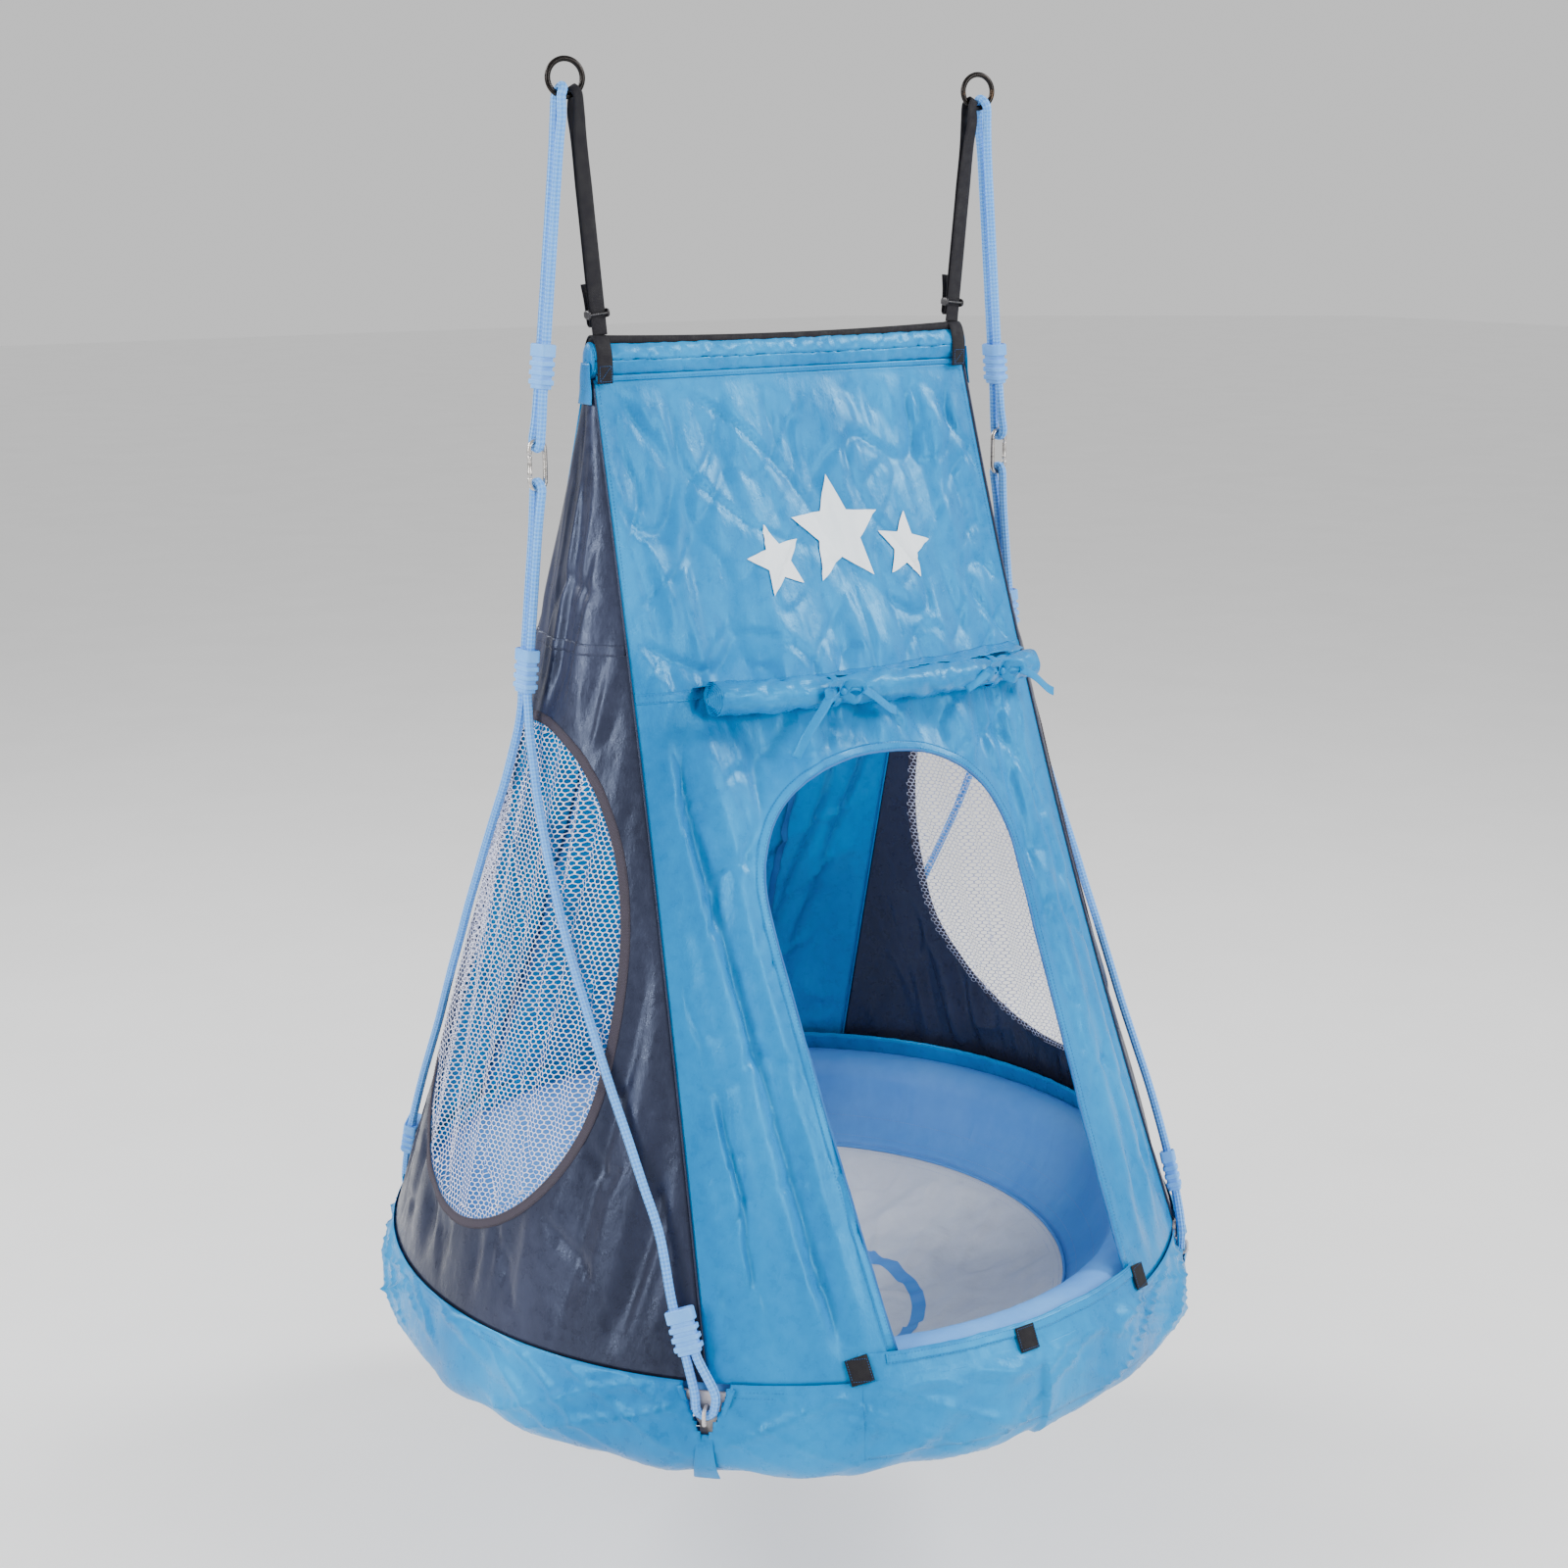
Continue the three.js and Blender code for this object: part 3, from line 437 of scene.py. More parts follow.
def resample(points, step, closed=False):
    """Points on a smooth curve through the given ones, about step apart."""
    p = np.asarray(points, float)
    q = np.vstack([p[-1:], p, p[:2]]) if closed else np.vstack([2 * p[0] - p[1], p, 2 * p[-1] - p[-2]])
    out = []
    count = len(p) if closed else len(p) - 1
    for i in range(count):
        a, b, c, d = q[i : i + 4]
        n = max(1, int(round(np.linalg.norm(c - b) / step)))
        ta, tb, tc = (max(np.linalg.norm(v), 1e-6) ** 0.5 for v in (b - a, c - b, d - c))
        m0 = (c - b) + tb * ((b - a) / ta - (c - a) / (ta + tb))
        m1 = (c - b) + tb * ((d - c) / tc - (d - b) / (tb + tc))
        for t in np.arange(n) / n:
            t2, t3 = t * t, t * t * t
            out.append((2 * t3 - 3 * t2 + 1) * b + (t3 - 2 * t2 + t) * m0 + (-2 * t3 + 3 * t2) * c
                       + (t3 - t2) * m1)
    if not closed:
        out.append(p[-1])
    return np.array(out)


def tangents(p, closed=False):
    if closed:
        return unit(np.roll(p, -1, 0) - np.roll(p, 1, 0))
    t = np.empty_like(p)
    t[1:-1], t[0], t[-1] = p[2:] - p[:-2], p[1] - p[0], p[-1] - p[-2]
    return unit(t)


def arc_length(p):
    return np.concatenate([[0], np.cumsum(np.linalg.norm(np.diff(p, axis=0), axis=1))])


def sweep(name, path, sides, radius, material, start=(0, 0, 1), closed=False, **rest):
    """A tube along a path. radius is a number, one a point, or a function of (way along, angle round)."""
    t = tangents(path, closed)
    n = np.empty_like(path)
    n[0] = unit(np.array(start, float) - t[0] * np.dot(start, t[0]))
    for i in range(1, len(path)):
        n[i] = unit(n[i - 1] - t[i] * np.dot(n[i - 1], t[i]))
    if closed:
        end = n[-1] - t[0] * np.dot(n[-1], t[0])
        twist = math.atan2(np.dot(np.cross(unit(end), n[0]), t[0]), np.dot(unit(end), n[0]))
    else:
        twist = 0.0
    b = np.cross(t, n)
    s = arc_length(path)
    a = turns(sides)
    turn = a[None, :] + twist * (s / s[-1])[:, None]
    if callable(radius):
        r = radius(s[:, None], a[None, :])
    else:
        r = np.broadcast_to(np.reshape(radius, (-1, 1)), (len(path), 1)) * np.ones((1, sides))
    out = n[:, None] * np.cos(turn)[..., None] + b[:, None] * np.sin(turn)[..., None]
    pts = path[:, None] + r[..., None] * out
    uv = pairs(s[:, None] / 1000, a[None, :] / TAU)
    faces = grid_faces(len(path), sides, wrap=True)
    m = (len(path) - 1) * sides
    if closed:
        faces += [(m + j, m + (j + 1) % sides, (j + 1) % sides, j) for j in range(sides)]
    else:
        faces += [tuple(reversed(range(sides))), tuple(range(m, m + sides))]
    return piece(name, pts, faces, material, uv, **rest)


def tape(name, path, wide, width, thick, material, lift=0.0, **rest):
    """A flat band with rounded edges along a path. wide is the direction of its width at each point."""
    path = np.asarray(path, float)
    t = tangents(path)
    wide = np.broadcast_to(np.asarray(wide, float), path.shape)
    w = unit(wide - t * np.sum(wide * t, 1, keepdims=True))
    up = np.cross(w, t)
    width = np.broadcast_to(np.asarray(width, float), len(path))[:, None]
    section = [(-1, 0), (-0.94, 0.8), (-0.5, 1), (0, 1), (0.5, 1), (0.94, 0.8), (1, 0), (0.94, -0.8),
               (0.5, -1), (0, -1), (-0.5, -1), (-0.94, -0.8)]
    rows = [path + w * x * width / 2 + up * (lift + y * thick / 2) for x, y in section]
    pts = np.stack(rows, 1)
    s = arc_length(path)
    k = len(section)
    across = np.array([x for x, _ in section])
    uv = np.stack([np.repeat(s / 1000, k), (width * across[None, :] / 2000).ravel()], -1)
    faces = grid_faces(len(path), k, wrap=True)
    m = (len(path) - 1) * k
    faces += [tuple(reversed(range(k))), tuple(range(m, m + k))]
    return piece(name, pts, faces, material, uv, **rest)


def stitches(name, seams, material, pitch=4.5, length=3.1, radius=0.45, body="swing"):
    """Sewn stitches along seams, each a pair of (path, outward direction at each point)."""
    pts, faces = [], []
    for path, out in seams:
        path = np.asarray(path, float)
        out = np.broadcast_to(np.asarray(out, float), path.shape)
        s = arc_length(path)
        for at in np.arange(pitch / 2, s[-1] - length / 2, pitch):
            ends = [np.array([np.interp(at + d, s, path[:, k]) for k in range(3)])
                    for d in (-length / 2, length / 2)]
            up = unit(np.array([np.interp(at, s, out[:, k]) for k in range(3)]))
            along = unit(ends[1] - ends[0])
            side = np.cross(up, along)
            middle = (ends[0] + ends[1]) / 2
            base = len(pts)
            pts += [ends[0], middle + side * radius, middle + up * radius, middle - side * radius, middle
                    - up * radius * 0.5, ends[1]]
            for a in range(4):
                p, q = base + 1 + a, base + 1 + (a + 1) % 4
                faces += [(base, q, p), (base + 5, p, q)]
    return piece(name, np.array(pts), faces, material, body=body)


def lathe(profile, columns, shift=None):
    """Points and uv of a turned surface, rows along a profile of [radius, z].

    shift(angle, row fraction) is how far they move square to the profile, to the right as it runs, which is
    inwards on a profile that goes down.
    """
    profile = np.asarray(profile, float)
    a = turns(columns)
    t = np.linspace(0, 1, len(profile))
    r = np.repeat(profile[:, :1], columns, 1)
    z = np.repeat(profile[:, 1:], columns, 1)
    if shift is not None:
        d = np.gradient(profile, axis=0)
        d = unit(np.stack([d[:, 1], -d[:, 0]], 1))
        amount = shift(a[None, :], t[:, None])
        r = r + amount * d[:, :1]
        z = z + amount * d[:, 1:]
    s = arc_length(profile) / 1000
    return around(r, a, z), pairs(a[None, :] * 0.5, s[:, None])


# ---------- tent surface
TENT_R, TENT_BOTTOM, TENT_TOP = 562.0, 15.5, 1208.0
RIDGE, RIDGE_GAP, SEAM_SAG = 303.0, 9.0, 14.0
# how each panel goes from flat at the ridge to round at the foot: a power of the way down
FULL = (1.2, 0.85, 1.2, 0.85)
# the doorway and the windows, measured from the middle of their panels
DOOR_SILL, DOOR_HALF, ARCH_FOOT, ARCH_RISE, ARCH_POWER = 46, 208, 552, 170, 2.25
WINDOW_HALF, WINDOW_Z, WINDOW_UP, WINDOW_DOWN = 200, 345, 436, 218


def level(z):
    return (TENT_TOP - z) / (TENT_TOP - TENT_BOTTOM)


def half_section(s):
    pull = SEAM_SAG * 4 * s * (1 - s)
    return mix(RIDGE, TENT_R * C45, s) - pull, mix(RIDGE_GAP, TENT_R * C45, s) - pull


def by_edge(quarter, a, z):
    """Less fold where the cloth is sewn to the door's or a window's edge: 1 away from it."""
    if quarter == 2:
        return 1.0
    if quarter == 0:
        rise = np.maximum(z - ARCH_FOOT, 0) / ARCH_RISE
        reach = (np.abs(a / DOOR_HALF) ** ARCH_POWER + rise**ARCH_POWER) ** (1 / ARCH_POWER)
        off = np.abs(reach - 1) * 200
        return mix(0.22, 1.0, smooth(off / 42))
    reach = np.hypot(a / WINDOW_HALF, (z - WINDOW_Z) / np.where(z > WINDOW_Z, WINDOW_UP, WINDOW_DOWN))
    off = np.abs(reach - 1) * 200
    return mix(0.12, 1.0, smooth(off / 34))


def folds(quarter, a, z, half):
    """How far the cloth stands out, in mm, at a distance a from the panel's middle and a height z."""
    t = np.clip(a / half, -1, 1)
    seam = smooth((1 - np.abs(t)) * half / 45) * smooth((TENT_TOP - z) / 60) * smooth((z - TENT_BOTTOM) / 110)
    if quarter in (0, 2):
        lower = smooth((880 - z) / 160)
        beside = smooth((np.abs(a) - 190) / 40) * lower
        bend = a + 0.05 * (900 - z) * np.sign(a)
        long = mix(12, 30, lower) * noise(bend / 70, z / 640, 1 + quarter)
        long += mix(7, 40, beside) * noise(bend / 34, z / 520, 2 + quarter)
        slant = mix(18, 9, lower) * noise((a + 0.5 * z) / 80, (z - 0.3 * a) / 240, 3 + quarter)
        small = 5 * noise(a / 24, z / 64, 5 + quarter)
        small += mix(3.0, 5.0, beside) * noise(a / 12 + z / 90, z / 120, 6 + quarter)
        lines = 9 * crease((a + 0.4 * z) / 130, (z - 0.2 * a) / 220, 7 + quarter, 0.10)
        lines += 5 * crease((a - 0.5 * z) / 80, z / 120, 9 + quarter, 0.09)
        at_print = (quarter == 0) * np.exp(-(((a - 26) / 190) ** 4) - ((z - 990) / 95) ** 4)
        w = (long + slant + small - lines) * (1 - 0.6 * at_print)
        tuck = smooth(1.4 - np.abs(z - 800) / 42) * (quarter == 0)
        most = mix(mix(11.0, 16.0, beside), 2.5, tuck)
    else:
        long = 26 * noise(a / 46, z / 720, 11 + quarter) + 12 * noise(a / 19, z / 460, 13 + quarter)
        small = 3.5 * noise(a / 10, z / 160, 14 + quarter)
        lines = 6.0 * crease((a + 0.3 * z) / 100, z / 240, 15 + quarter, 0.10)
        w = long + small - lines - 2
        most = 3.0
    w = np.where(w > 0, most * np.tanh(w / most), 22 * np.tanh(w / 22)) * by_edge(quarter, a, z)
    return w * seam


def panel(quarter, a, z, lift=0.0, plain=False):
    """Points of a tent panel, 0 front, 1 right, 2 back, 3 left, at a from its middle and height z."""
    a, z = np.broadcast_arrays(np.asarray(a, float), np.asarray(z, float))
    s = np.clip(level(z), 0, 1.02)
    sx, sy = half_section(s)
    half, out = (sy, sx) if quarter % 2 else (sx, sy)
    half = np.maximum(half, 1.0)
    angle = np.arcsin(np.clip(a / half, -1, 1) * C45)
    o = out + s ** FULL[quarter] * TENT_R * (np.cos(angle) - C45) + lift
    if not plain:
        o = o + folds(quarter, a, z, half)
    ways = [(a, -o), (o, a), (-a, o), (-o, -a)]
    x, y = ways[quarter]
    return np.stack([x, y, z], -1)


# roughly the way out of each panel
OUT = [v3(0, -1, 0.25), v3(1, 0, 0.1), v3(0, 1, 0.25), v3(-1, 0, 0.1)]


def door_outline(grow=0.0, steps=56):
    """The door's edge as [x, z], from the sill's left corner up over the arch to its right corner."""
    z = np.linspace(DOOR_SILL, ARCH_FOOT, 24)[:-1]
    half = mix(192, DOOR_HALF, np.clip((z - DOOR_SILL) / 474, 0, 1)) + grow
    t = np.linspace(0, math.pi, steps)
    c, s = np.cos(t), np.sin(t)
    e = 2 / ARCH_POWER
    arch_x = -(DOOR_HALF + grow) * np.sign(c) * np.abs(c) ** e
    arch = np.stack([arch_x, ARCH_FOOT + (ARCH_RISE + grow) * s**e], 1)
    left = np.stack([-half, z], 1)
    right = np.stack([half, z], 1)[::-1]
    return np.vstack([left, arch, right])


def window_outline(grow=0.0, steps=96):
    t = turns(steps)
    rise = np.where(np.sin(t) > 0, WINDOW_UP, WINDOW_DOWN) + grow
    return np.stack([(WINDOW_HALF + grow) * np.cos(t), WINDOW_Z + rise * np.sin(t)], 1)


def inside(outline, x, y):
    """Which points lie inside a closed outline."""
    hit = np.zeros(np.shape(x), bool)
    n = len(outline)
    for i in range(n):
        (x1, y1), (x2, y2) = outline[i], outline[(i + 1) % n]
        if y1 == y2:
            continue
        crossing = (y1 > y) != (y2 > y)
        hit ^= crossing & (x < (x2 - x1) * (y - y1) / (y2 - y1) + x1)
    return hit


def nearest_on(outline, p):
    """The nearest point of a closed outline to each of the points p."""
    a, b = outline, np.roll(outline, -1, 0)
    d = b - a
    t = np.clip(np.sum((p[:, None] - a) * d, -1) / np.maximum(np.sum(d * d, -1), 1e-9), 0, 1)
    q = a + t[..., None] * d
    k = np.argmin(np.sum((p[:, None] - q) ** 2, -1), 1)
    return q[np.arange(len(p)), k]


def cut_grid(x, z, holes):
    """Faces of a grid with holes. The corners next to a hole move onto its outline."""
    rows, cols = x.shape
    flat = np.stack([x.ravel(), z.ravel()], 1)
    faces = np.array(grid_faces(rows, cols))
    centre = flat[faces].mean(1)
    keep = np.ones(len(faces), bool)
    for outline in holes:
        gone = inside(outline, centre[:, 0], centre[:, 1])
        near = np.intersect1d(faces[gone & keep], faces[~gone & keep])
        keep &= ~gone
        flat[near] = nearest_on(outline, flat[near])
    faces = faces[keep]
    used, index = np.unique(faces, return_inverse=True)
    return flat[used], [tuple(f) for f in index.reshape(-1, 4)]


def panel_piece(name, quarter, material, holes, step, **rest):
    rows, cols = int(1190 / step), int(760 / step)
    z = np.linspace(TENT_BOTTOM, TENT_TOP + 3, rows)[:, None]
    sx, sy = half_section(np.clip(level(z), 0, 1))
    half = np.maximum(sy if quarter % 2 else sx, 1.0)
    angle = np.linspace(-rad(45), rad(45), cols)[None, :]
    x = half * np.sin(angle) / C45
    flat, faces = cut_grid(x, np.broadcast_to(z, x.shape), holes)
    pts = panel(quarter, flat[:, 0], flat[:, 1])
    return piece(name, pts, faces, material, flat / 1000, thick=0.7, **rest)


STEP = 6.0
front = panel_piece("tent_front", 0, BLUE, [door_outline()], STEP, stands_for="tent_front_panel")
back = panel_piece("tent_back", 2, BLUE, [], STEP * 1.3, stands_for="tent_back_panel")
for side, quarter in SIDE_QUARTERS.items():
    name = "tent_side_" + side
    panel_piece(name, quarter, GREY, [window_outline()], STEP,
        stands_for="tent_%s_panel" % side)


CELL, OPEN_SHARE = 3.9, 0.83


def net(name, quarter, **rest):
    """A window's net of hexagons of radius CELL, a little slack and lying just inside the panel."""
    edge = window_outline(4)
    pts, faces, index = [], [], {}
    dx, dz = CELL * math.sqrt(3), CELL * 1.5
    a = np.arange(6) * math.pi / 3 + math.pi / 6
    ring = np.stack([np.cos(a), np.sin(a)], 1) * CELL

    def add(p):
        key = (round(p[0], 2), round(p[1], 2))
        if key not in index:
            index[key] = len(pts)
            pts.append(key)
        return index[key]

    rows = int(700 / dz)
    for j in range(rows):
        for i in range(-32, 33):
            c = np.array([(i + 0.5 * (j % 2)) * dx, 120 + j * dz])
            if not inside(edge, c[0], c[1]):
                continue
            outer = [add(c + p) for p in ring]
            inner = [add(c + p * OPEN_SHARE) for p in ring]
            faces += [(outer[k], outer[(k + 1) % 6], inner[(k + 1) % 6], inner[k]) for k in range(6)]
    flat = np.array(pts)
    hang = panel(quarter, flat[:, 0], flat[:, 1], lift=-2.0)
    loose = inside(window_outline(-12), flat[:, 0], flat[:, 1])
    hang[:, 0] += 16 * noise(flat[:, 0] / 17, flat[:, 1] / 520, 21) * loose
    return piece(name, hang, faces, NET, flat / 1000, **rest)


for side, quarter in SIDE_QUARTERS.items():
    net("window_net_" + side, quarter, stands_for="mesh_window_" + side)


def on_panel_tape(name, quarter, outline, width, thick, material, lift=0.8, shift=0.0, closed=False, **rest):
    """A tape that follows a line of [a, z] points on a panel, shift mm to its left side."""
    line = np.vstack([outline, outline[:1]]) if closed else outline
    d = np.gradient(line, axis=0)
    if closed:
        d[0] = d[-1] = line[1] - line[-2]
    normal = unit(np.stack([-d[:, 1], d[:, 0]], 1))
    line = line + normal * shift
    centre = panel(quarter, line[:, 0], line[:, 1], lift)
    edge = panel(quarter, line[:, 0] + normal[:, 0], line[:, 1] + normal[:, 1], lift)
    return tape(name, centre, edge - centre, width, thick, material, **rest)


def seam_on(quarter, line, lift=1.4):
    line = np.asarray(line, float)
    return panel(quarter, line[:, 0], line[:, 1], lift), OUT[quarter]


def level_line(quarter, z, t0=-1.0, t1=1.0, steps=80):
    sx, sy = half_section(level(z))
    half = (sy if quarter % 2 else sx) * 0.999
    return np.stack([np.linspace(t0, t1, steps) * half, np.full(steps, z)], 1)


# the door's hem and its two rows of stitches
on_panel_tape("door_hem", 0, door_outline(), 13, 1.8, BLUE, lift=0.6, shift=5.5)
on_panel_tape("door_piping", 0, door_outline(), 3.2, 3.2, THREAD_BLUE, lift=0.2, shift=-0.4,
              finish="tent_blue")
stitches("door_stitches", [seam_on(0, door_outline(3.0), 2.0), seam_on(0, door_outline(10.5), 2.0)],
         THREAD_BLUE)

# the windows' tape and stitches
for side, quarter in SIDE_QUARTERS.items():
    on_panel_tape("window_tape_" + side, quarter, window_outline(), 13, 2.2, BROWN, lift=0.7, shift=-3.0,
                  closed=True)
    rows = [window_outline(-1.5), window_outline(7.5)]
    stitches("window_stitches_" + side, [seam_on(quarter, np.vstack([w, w[:1]]), 2.2) for w in rows],
             THREAD_DARK)

# level seams: the flap's seam on the front, the joint in the grey sides
stitches("front_seam_stitches", [seam_on(0, level_line(0, z)) for z in (822, 814)], THREAD_BLUE)
stitches("back_seam_stitches", [seam_on(2, level_line(2, z)) for z in (822, 814)], THREAD_BLUE)
for side, quarter in SIDE_QUARTERS.items():
    stitches("side_seam_stitches_" + side, [seam_on(quarter, level_line(quarter, z)) for z in (882, 872)],
             THREAD_DARK)
    on_panel_tape("side_seam_" + side, quarter, level_line(quarter, 877), 15, 1.0, GREY, lift=0.8)
on_panel_tape("front_flap_seam", 0, level_line(0, 818), 14, 1.0, BLUE, lift=0.8)


# the corner seams, a thin raised edge where two panels are sewn
def corner_seam(sign, end):
    z = np.linspace(TENT_BOTTOM, TENT_TOP - 2, 120)
    sx, sy = half_section(level(z))
    return np.stack([sign * sx, end * sy, z], 1)


for where, side, end, sign in CORNERS:
    path = corner_seam(sign, end)
    piping = GREY if end < 0 else BLUE
    tape("corner_seam_%s_%s" % (where, side), path, v3(sign, end, 0), 7, 2.2, piping, finish="tent_grey")
    beside = path + v3(-sign * 7, end * 0.2, 0) + v3(0, end * 1.2, 0)
    stitches("corner_stitches_%s_%s" % (where, side), [(beside, v3(0, end, 0.2))], THREAD_BLUE)

# two dark tapes down the back panel
for name, t in (("left", -0.6), ("right", 0.6)):
    z = np.linspace(30, 1195, 90)
    half = half_section(level(z))[0]
    on_panel_tape("back_tape_" + name, 2, np.stack([t * half, z], 1), 11, 1.2, THREAD_BLUE, lift=-5.0,
                  finish="tent_blue")


# ---------- inner band
def foot_radius(z):
    return TENT_R - (z - TENT_BOTTOM) * 0.33


def inner_hem_band():
    """A band inside the tent's foot, open at the door."""
    a = np.radians(np.linspace(32, 328, 200))[None, :]
    z = np.linspace(10, 66, 7)[:, None]
    r = foot_radius(z) - 15 + 1.6 * noise(a * 26, z / 60, 33)
    r = r + 1.12 * np.sin(a * 96 + 3 * noise(a * 9, z / 80, 34))
    surface("inner_hem_band", around(r, a, z), BLUE, pairs(a * 0.56, z / 1000), thick=0.8)


inner_hem_band()


# ---------- skirt
SKIRT = resample([[564, 17], [569, -5], [577, -35], [580, -65], [572, -92], [550, -108], [515, -107],
    [476, -92]], 6)


def skirt_folds(a, t):
    """Gathers: none at the seam with the tent, deep above the widest place, fine at the elastic hem."""
    upper = smooth(t / 0.08)
    lugs = 1 - np.exp(-((np.abs(np.mod(a, math.pi / 2) - math.pi / 4) / 0.05) ** 2))
    calm = mix(1.0, 0.35, smooth((t - 0.35) / 0.2))
    w = 13 * noise(a * 6.2, t * 1.1, 41) + 8 * noise(a * 11 + t * 4, t * 1.3, 42) * calm
    w += 1.2 * np.sin(a * 120 + 4 * noise(a * 12, t * 2, 43)) * smooth((t - 0.86) / 0.1)
    fade = mix(1.0, 0.15, smooth((t - 0.32) / 0.2))
    lines = 8 * crease(a * 5.0 + t * 4.0, t * 1.2, 44, 0.15)
    lines = lines + 6 * crease(a * 7 - t * 6.0, t * 1.4, 45, 0.15)
    w -= lines * fade
    w = np.where(w > 0, 6 * np.tanh(w / 6), w)
    return w * upper * mix(0.35, 1.0, lugs) - 1.0


def skirt():
    columns = 720
    pts, uv = lathe(SKIRT, columns, skirt_folds)
    rows = len(SKIRT)
    faces = np.array(grid_faces(rows, columns, wrap=True))
    a = turns(columns)
    off = (np.mod(a, math.pi / 2) - math.pi / 4)[None, :] * 560
    z = pts[..., 2]
    wide = np.clip((z + 62) / 78, 0, 1) * 31
    slit = (np.abs(off) < wide) & (z > -62)
    gone = slit.ravel()[faces].sum(1) >= 3
    return piece("skirt_cloth", pts, [tuple(f) for f in faces[~gone]], BLUE, uv, thick=0.8,
                 stands_for="skirt")


skirt_cloth = skirt()


def sill_apron():
    """Under the doorway the skirt's cloth runs on up to the sill, over the seam."""
    columns = 720
    pts, _ = lathe(SKIRT, columns, skirt_folds)
    index = np.arange(-51, 47)
    a = index * TAU / columns
    side = smooth((50 - np.abs(index + 2)) / 8)
    rows = []
    for z in np.linspace(47, 20, 8):
        lift = (2.8 + 2.2 * noise(a * 30, z / 30, 47)) * side
        rows.append(panel(0, foot_radius(z) * np.sin(a), np.full(len(a), z), lift))
    way = around(1.0, a, 0.0)
    last = 16
    for i in range(1, last + 1):
        rows.append(pts[i, index % columns] + way * (mix(3.0, 0.5, i / last) * side + 0.2)[:, None])
    uv = pairs(a[None, :] * 0.56, np.linspace(0, 0.12, len(rows))[:, None])
    return surface("sill_apron", np.array(rows), BLUE, uv, thick=0.8)


apron = sill_apron()
turn = np.linspace(0, TAU, 10)
HEM = np.stack([471 + 5 * np.cos(turn), -92 + 5 * np.sin(turn)], 1)
pts, uv = lathe(HEM, 480, lambda a, t: 1.1 * np.sin(a * 130) * np.ones_like(t))
surface("skirt_hem_gathers", pts, BLUE, uv, wrap=True, stands_for="skirt_hem_elastic", finish="elastic")


def ring_line(radius, z, a0=0.0, a1=360.0, steps=400):
    return around(radius, np.radians(np.linspace(a0, a1, steps)), float(z))


def outward(path):
    return np.stack([path[:, 0], path[:, 1], np.full(len(path), 40.0)], 1)


seams = []
for start in (-42, 48, 138, 228):
    for radius, z in ((567.5, 8), (569, 1)):
        line = ring_line(radius, z, start, start + 84)
        seams.append((line, outward(line)))
stitches("skirt_seam_stitches", seams, THREAD_BLUE)

# a narrow tongue of cloth hangs below each lug, and hems run down both sides of the slit
for where, side, end, sign in CORNERS:
    o, r = v3(sign * C45, end * C45, 0), v3(-sign * C45, end * C45, 0)
    line = resample([o * x + v3(0, 0, z) for x, z in ((578, -46), (583, -66), (578, -92), (566, -112))], 4)
    tape("slit_tongue_%s_%s" % (where, side), line, r, np.linspace(20, 34, len(line)), 1.6, BLUE)
    for k, way in enumerate((-1, 1)):
        down = np.linspace(0, 1, 14)
        line = [o * (571 + 5 * t) + r * way * mix(33, 7, t) + v3(0, 0, mix(14, -64, t)) for t in down]
        tape("slit_hem_%s_%s_%d" % (where, side, k), line, r + v3(0, 0, 0.3), 8, 2.0, BLUE)


# ---------- seat
def arc(middle, radius, a0, a1, steps):
    a = np.radians(np.linspace(a0, a1, steps))
    return np.stack([middle[0] + radius * np.cos(a), middle[1] + radius * np.sin(a)], 1)


COVER = np.vstack([arc((515, 0), 41.5, -165, 175, 40),
    [[469, -18], [461, -34], [450, -51], [437, -64], [424, -75], [411, -84.5]]])


def cover_folds(a, t):
    return 0.9 * noise(a * 30, t * 3, 51) + 1.6 * noise(a * 60, t * 4, 52) * smooth((t - 0.72) / 0.2) - 0.6


pts, uv = lathe(COVER, 480, cover_folds)
seat_cover = surface("seat_cover_cloth", pts, BORDER, uv, wrap=True, thick=1.2, stands_for="seat_cover")
MAT = resample([[411, -84.5], [320, -130], [210, -160], [100, -175], [1, -180]], 7)


def mat_folds(a, t):
    x, y = (1 - t) * np.sin(a) * 6, (1 - t) * np.cos(a) * 6
    w = 10 * noise(x * 0.8, y * 1.6, 61) + 5 * noise(x * 2.0, y * 3.0, 62)
    w += 6 * crease(x * 0.7 + y * 0.3, y * 0.8, 63, 0.16)
    return w * smooth(t / 0.12) * smooth((1 - t) / 0.15 + 0.3)


pts, uv = lathe(MAT, 360, mat_folds)
seat_middle = surface("seat_middle_cloth", pts, MIDDLE, uv, wrap=True, thick=1.0, stands_for="seat_middle")
near = [i for i, p in enumerate(MAT) if 184 < p[0] < 212]
band_uv = uv.reshape(len(MAT), 360, 2)[near].reshape(-1, 2)
surface("seat_ring_band", pts[near] + v3(0, 0, 1.1), BORDER, band_uv, wrap=True)
SEAT_ROWS = ((452, -46.5), (428, -70.5), (417, -78.5), (404, -87), (396, -91.5))
stitches("seat_stitches", [(ring_line(r, z), v3(0, 0, 1)) for r, z in SEAT_ROWS], THREAD_PALE)
sweep("seat_piping", ring_line(411, -83, 0, 359.3, 500), 8, 2.3, BORDER, closed=True)
for where, middle in (("front", 0), ("right", 90), ("back", 180), ("left", 270)):
    path = ring_line(515, 0, middle - 39.5, middle + 39.5, 60)
    radius = lambda s, a: 37.2 + 0.5 * noise(s / 40, a * 2, 71)
    pad = sweep("foam_tube_" + where, path, 24, radius, FOAM, stands_for="foam_" + where)


# ---------- ridge
RIDGE_Z = 1235


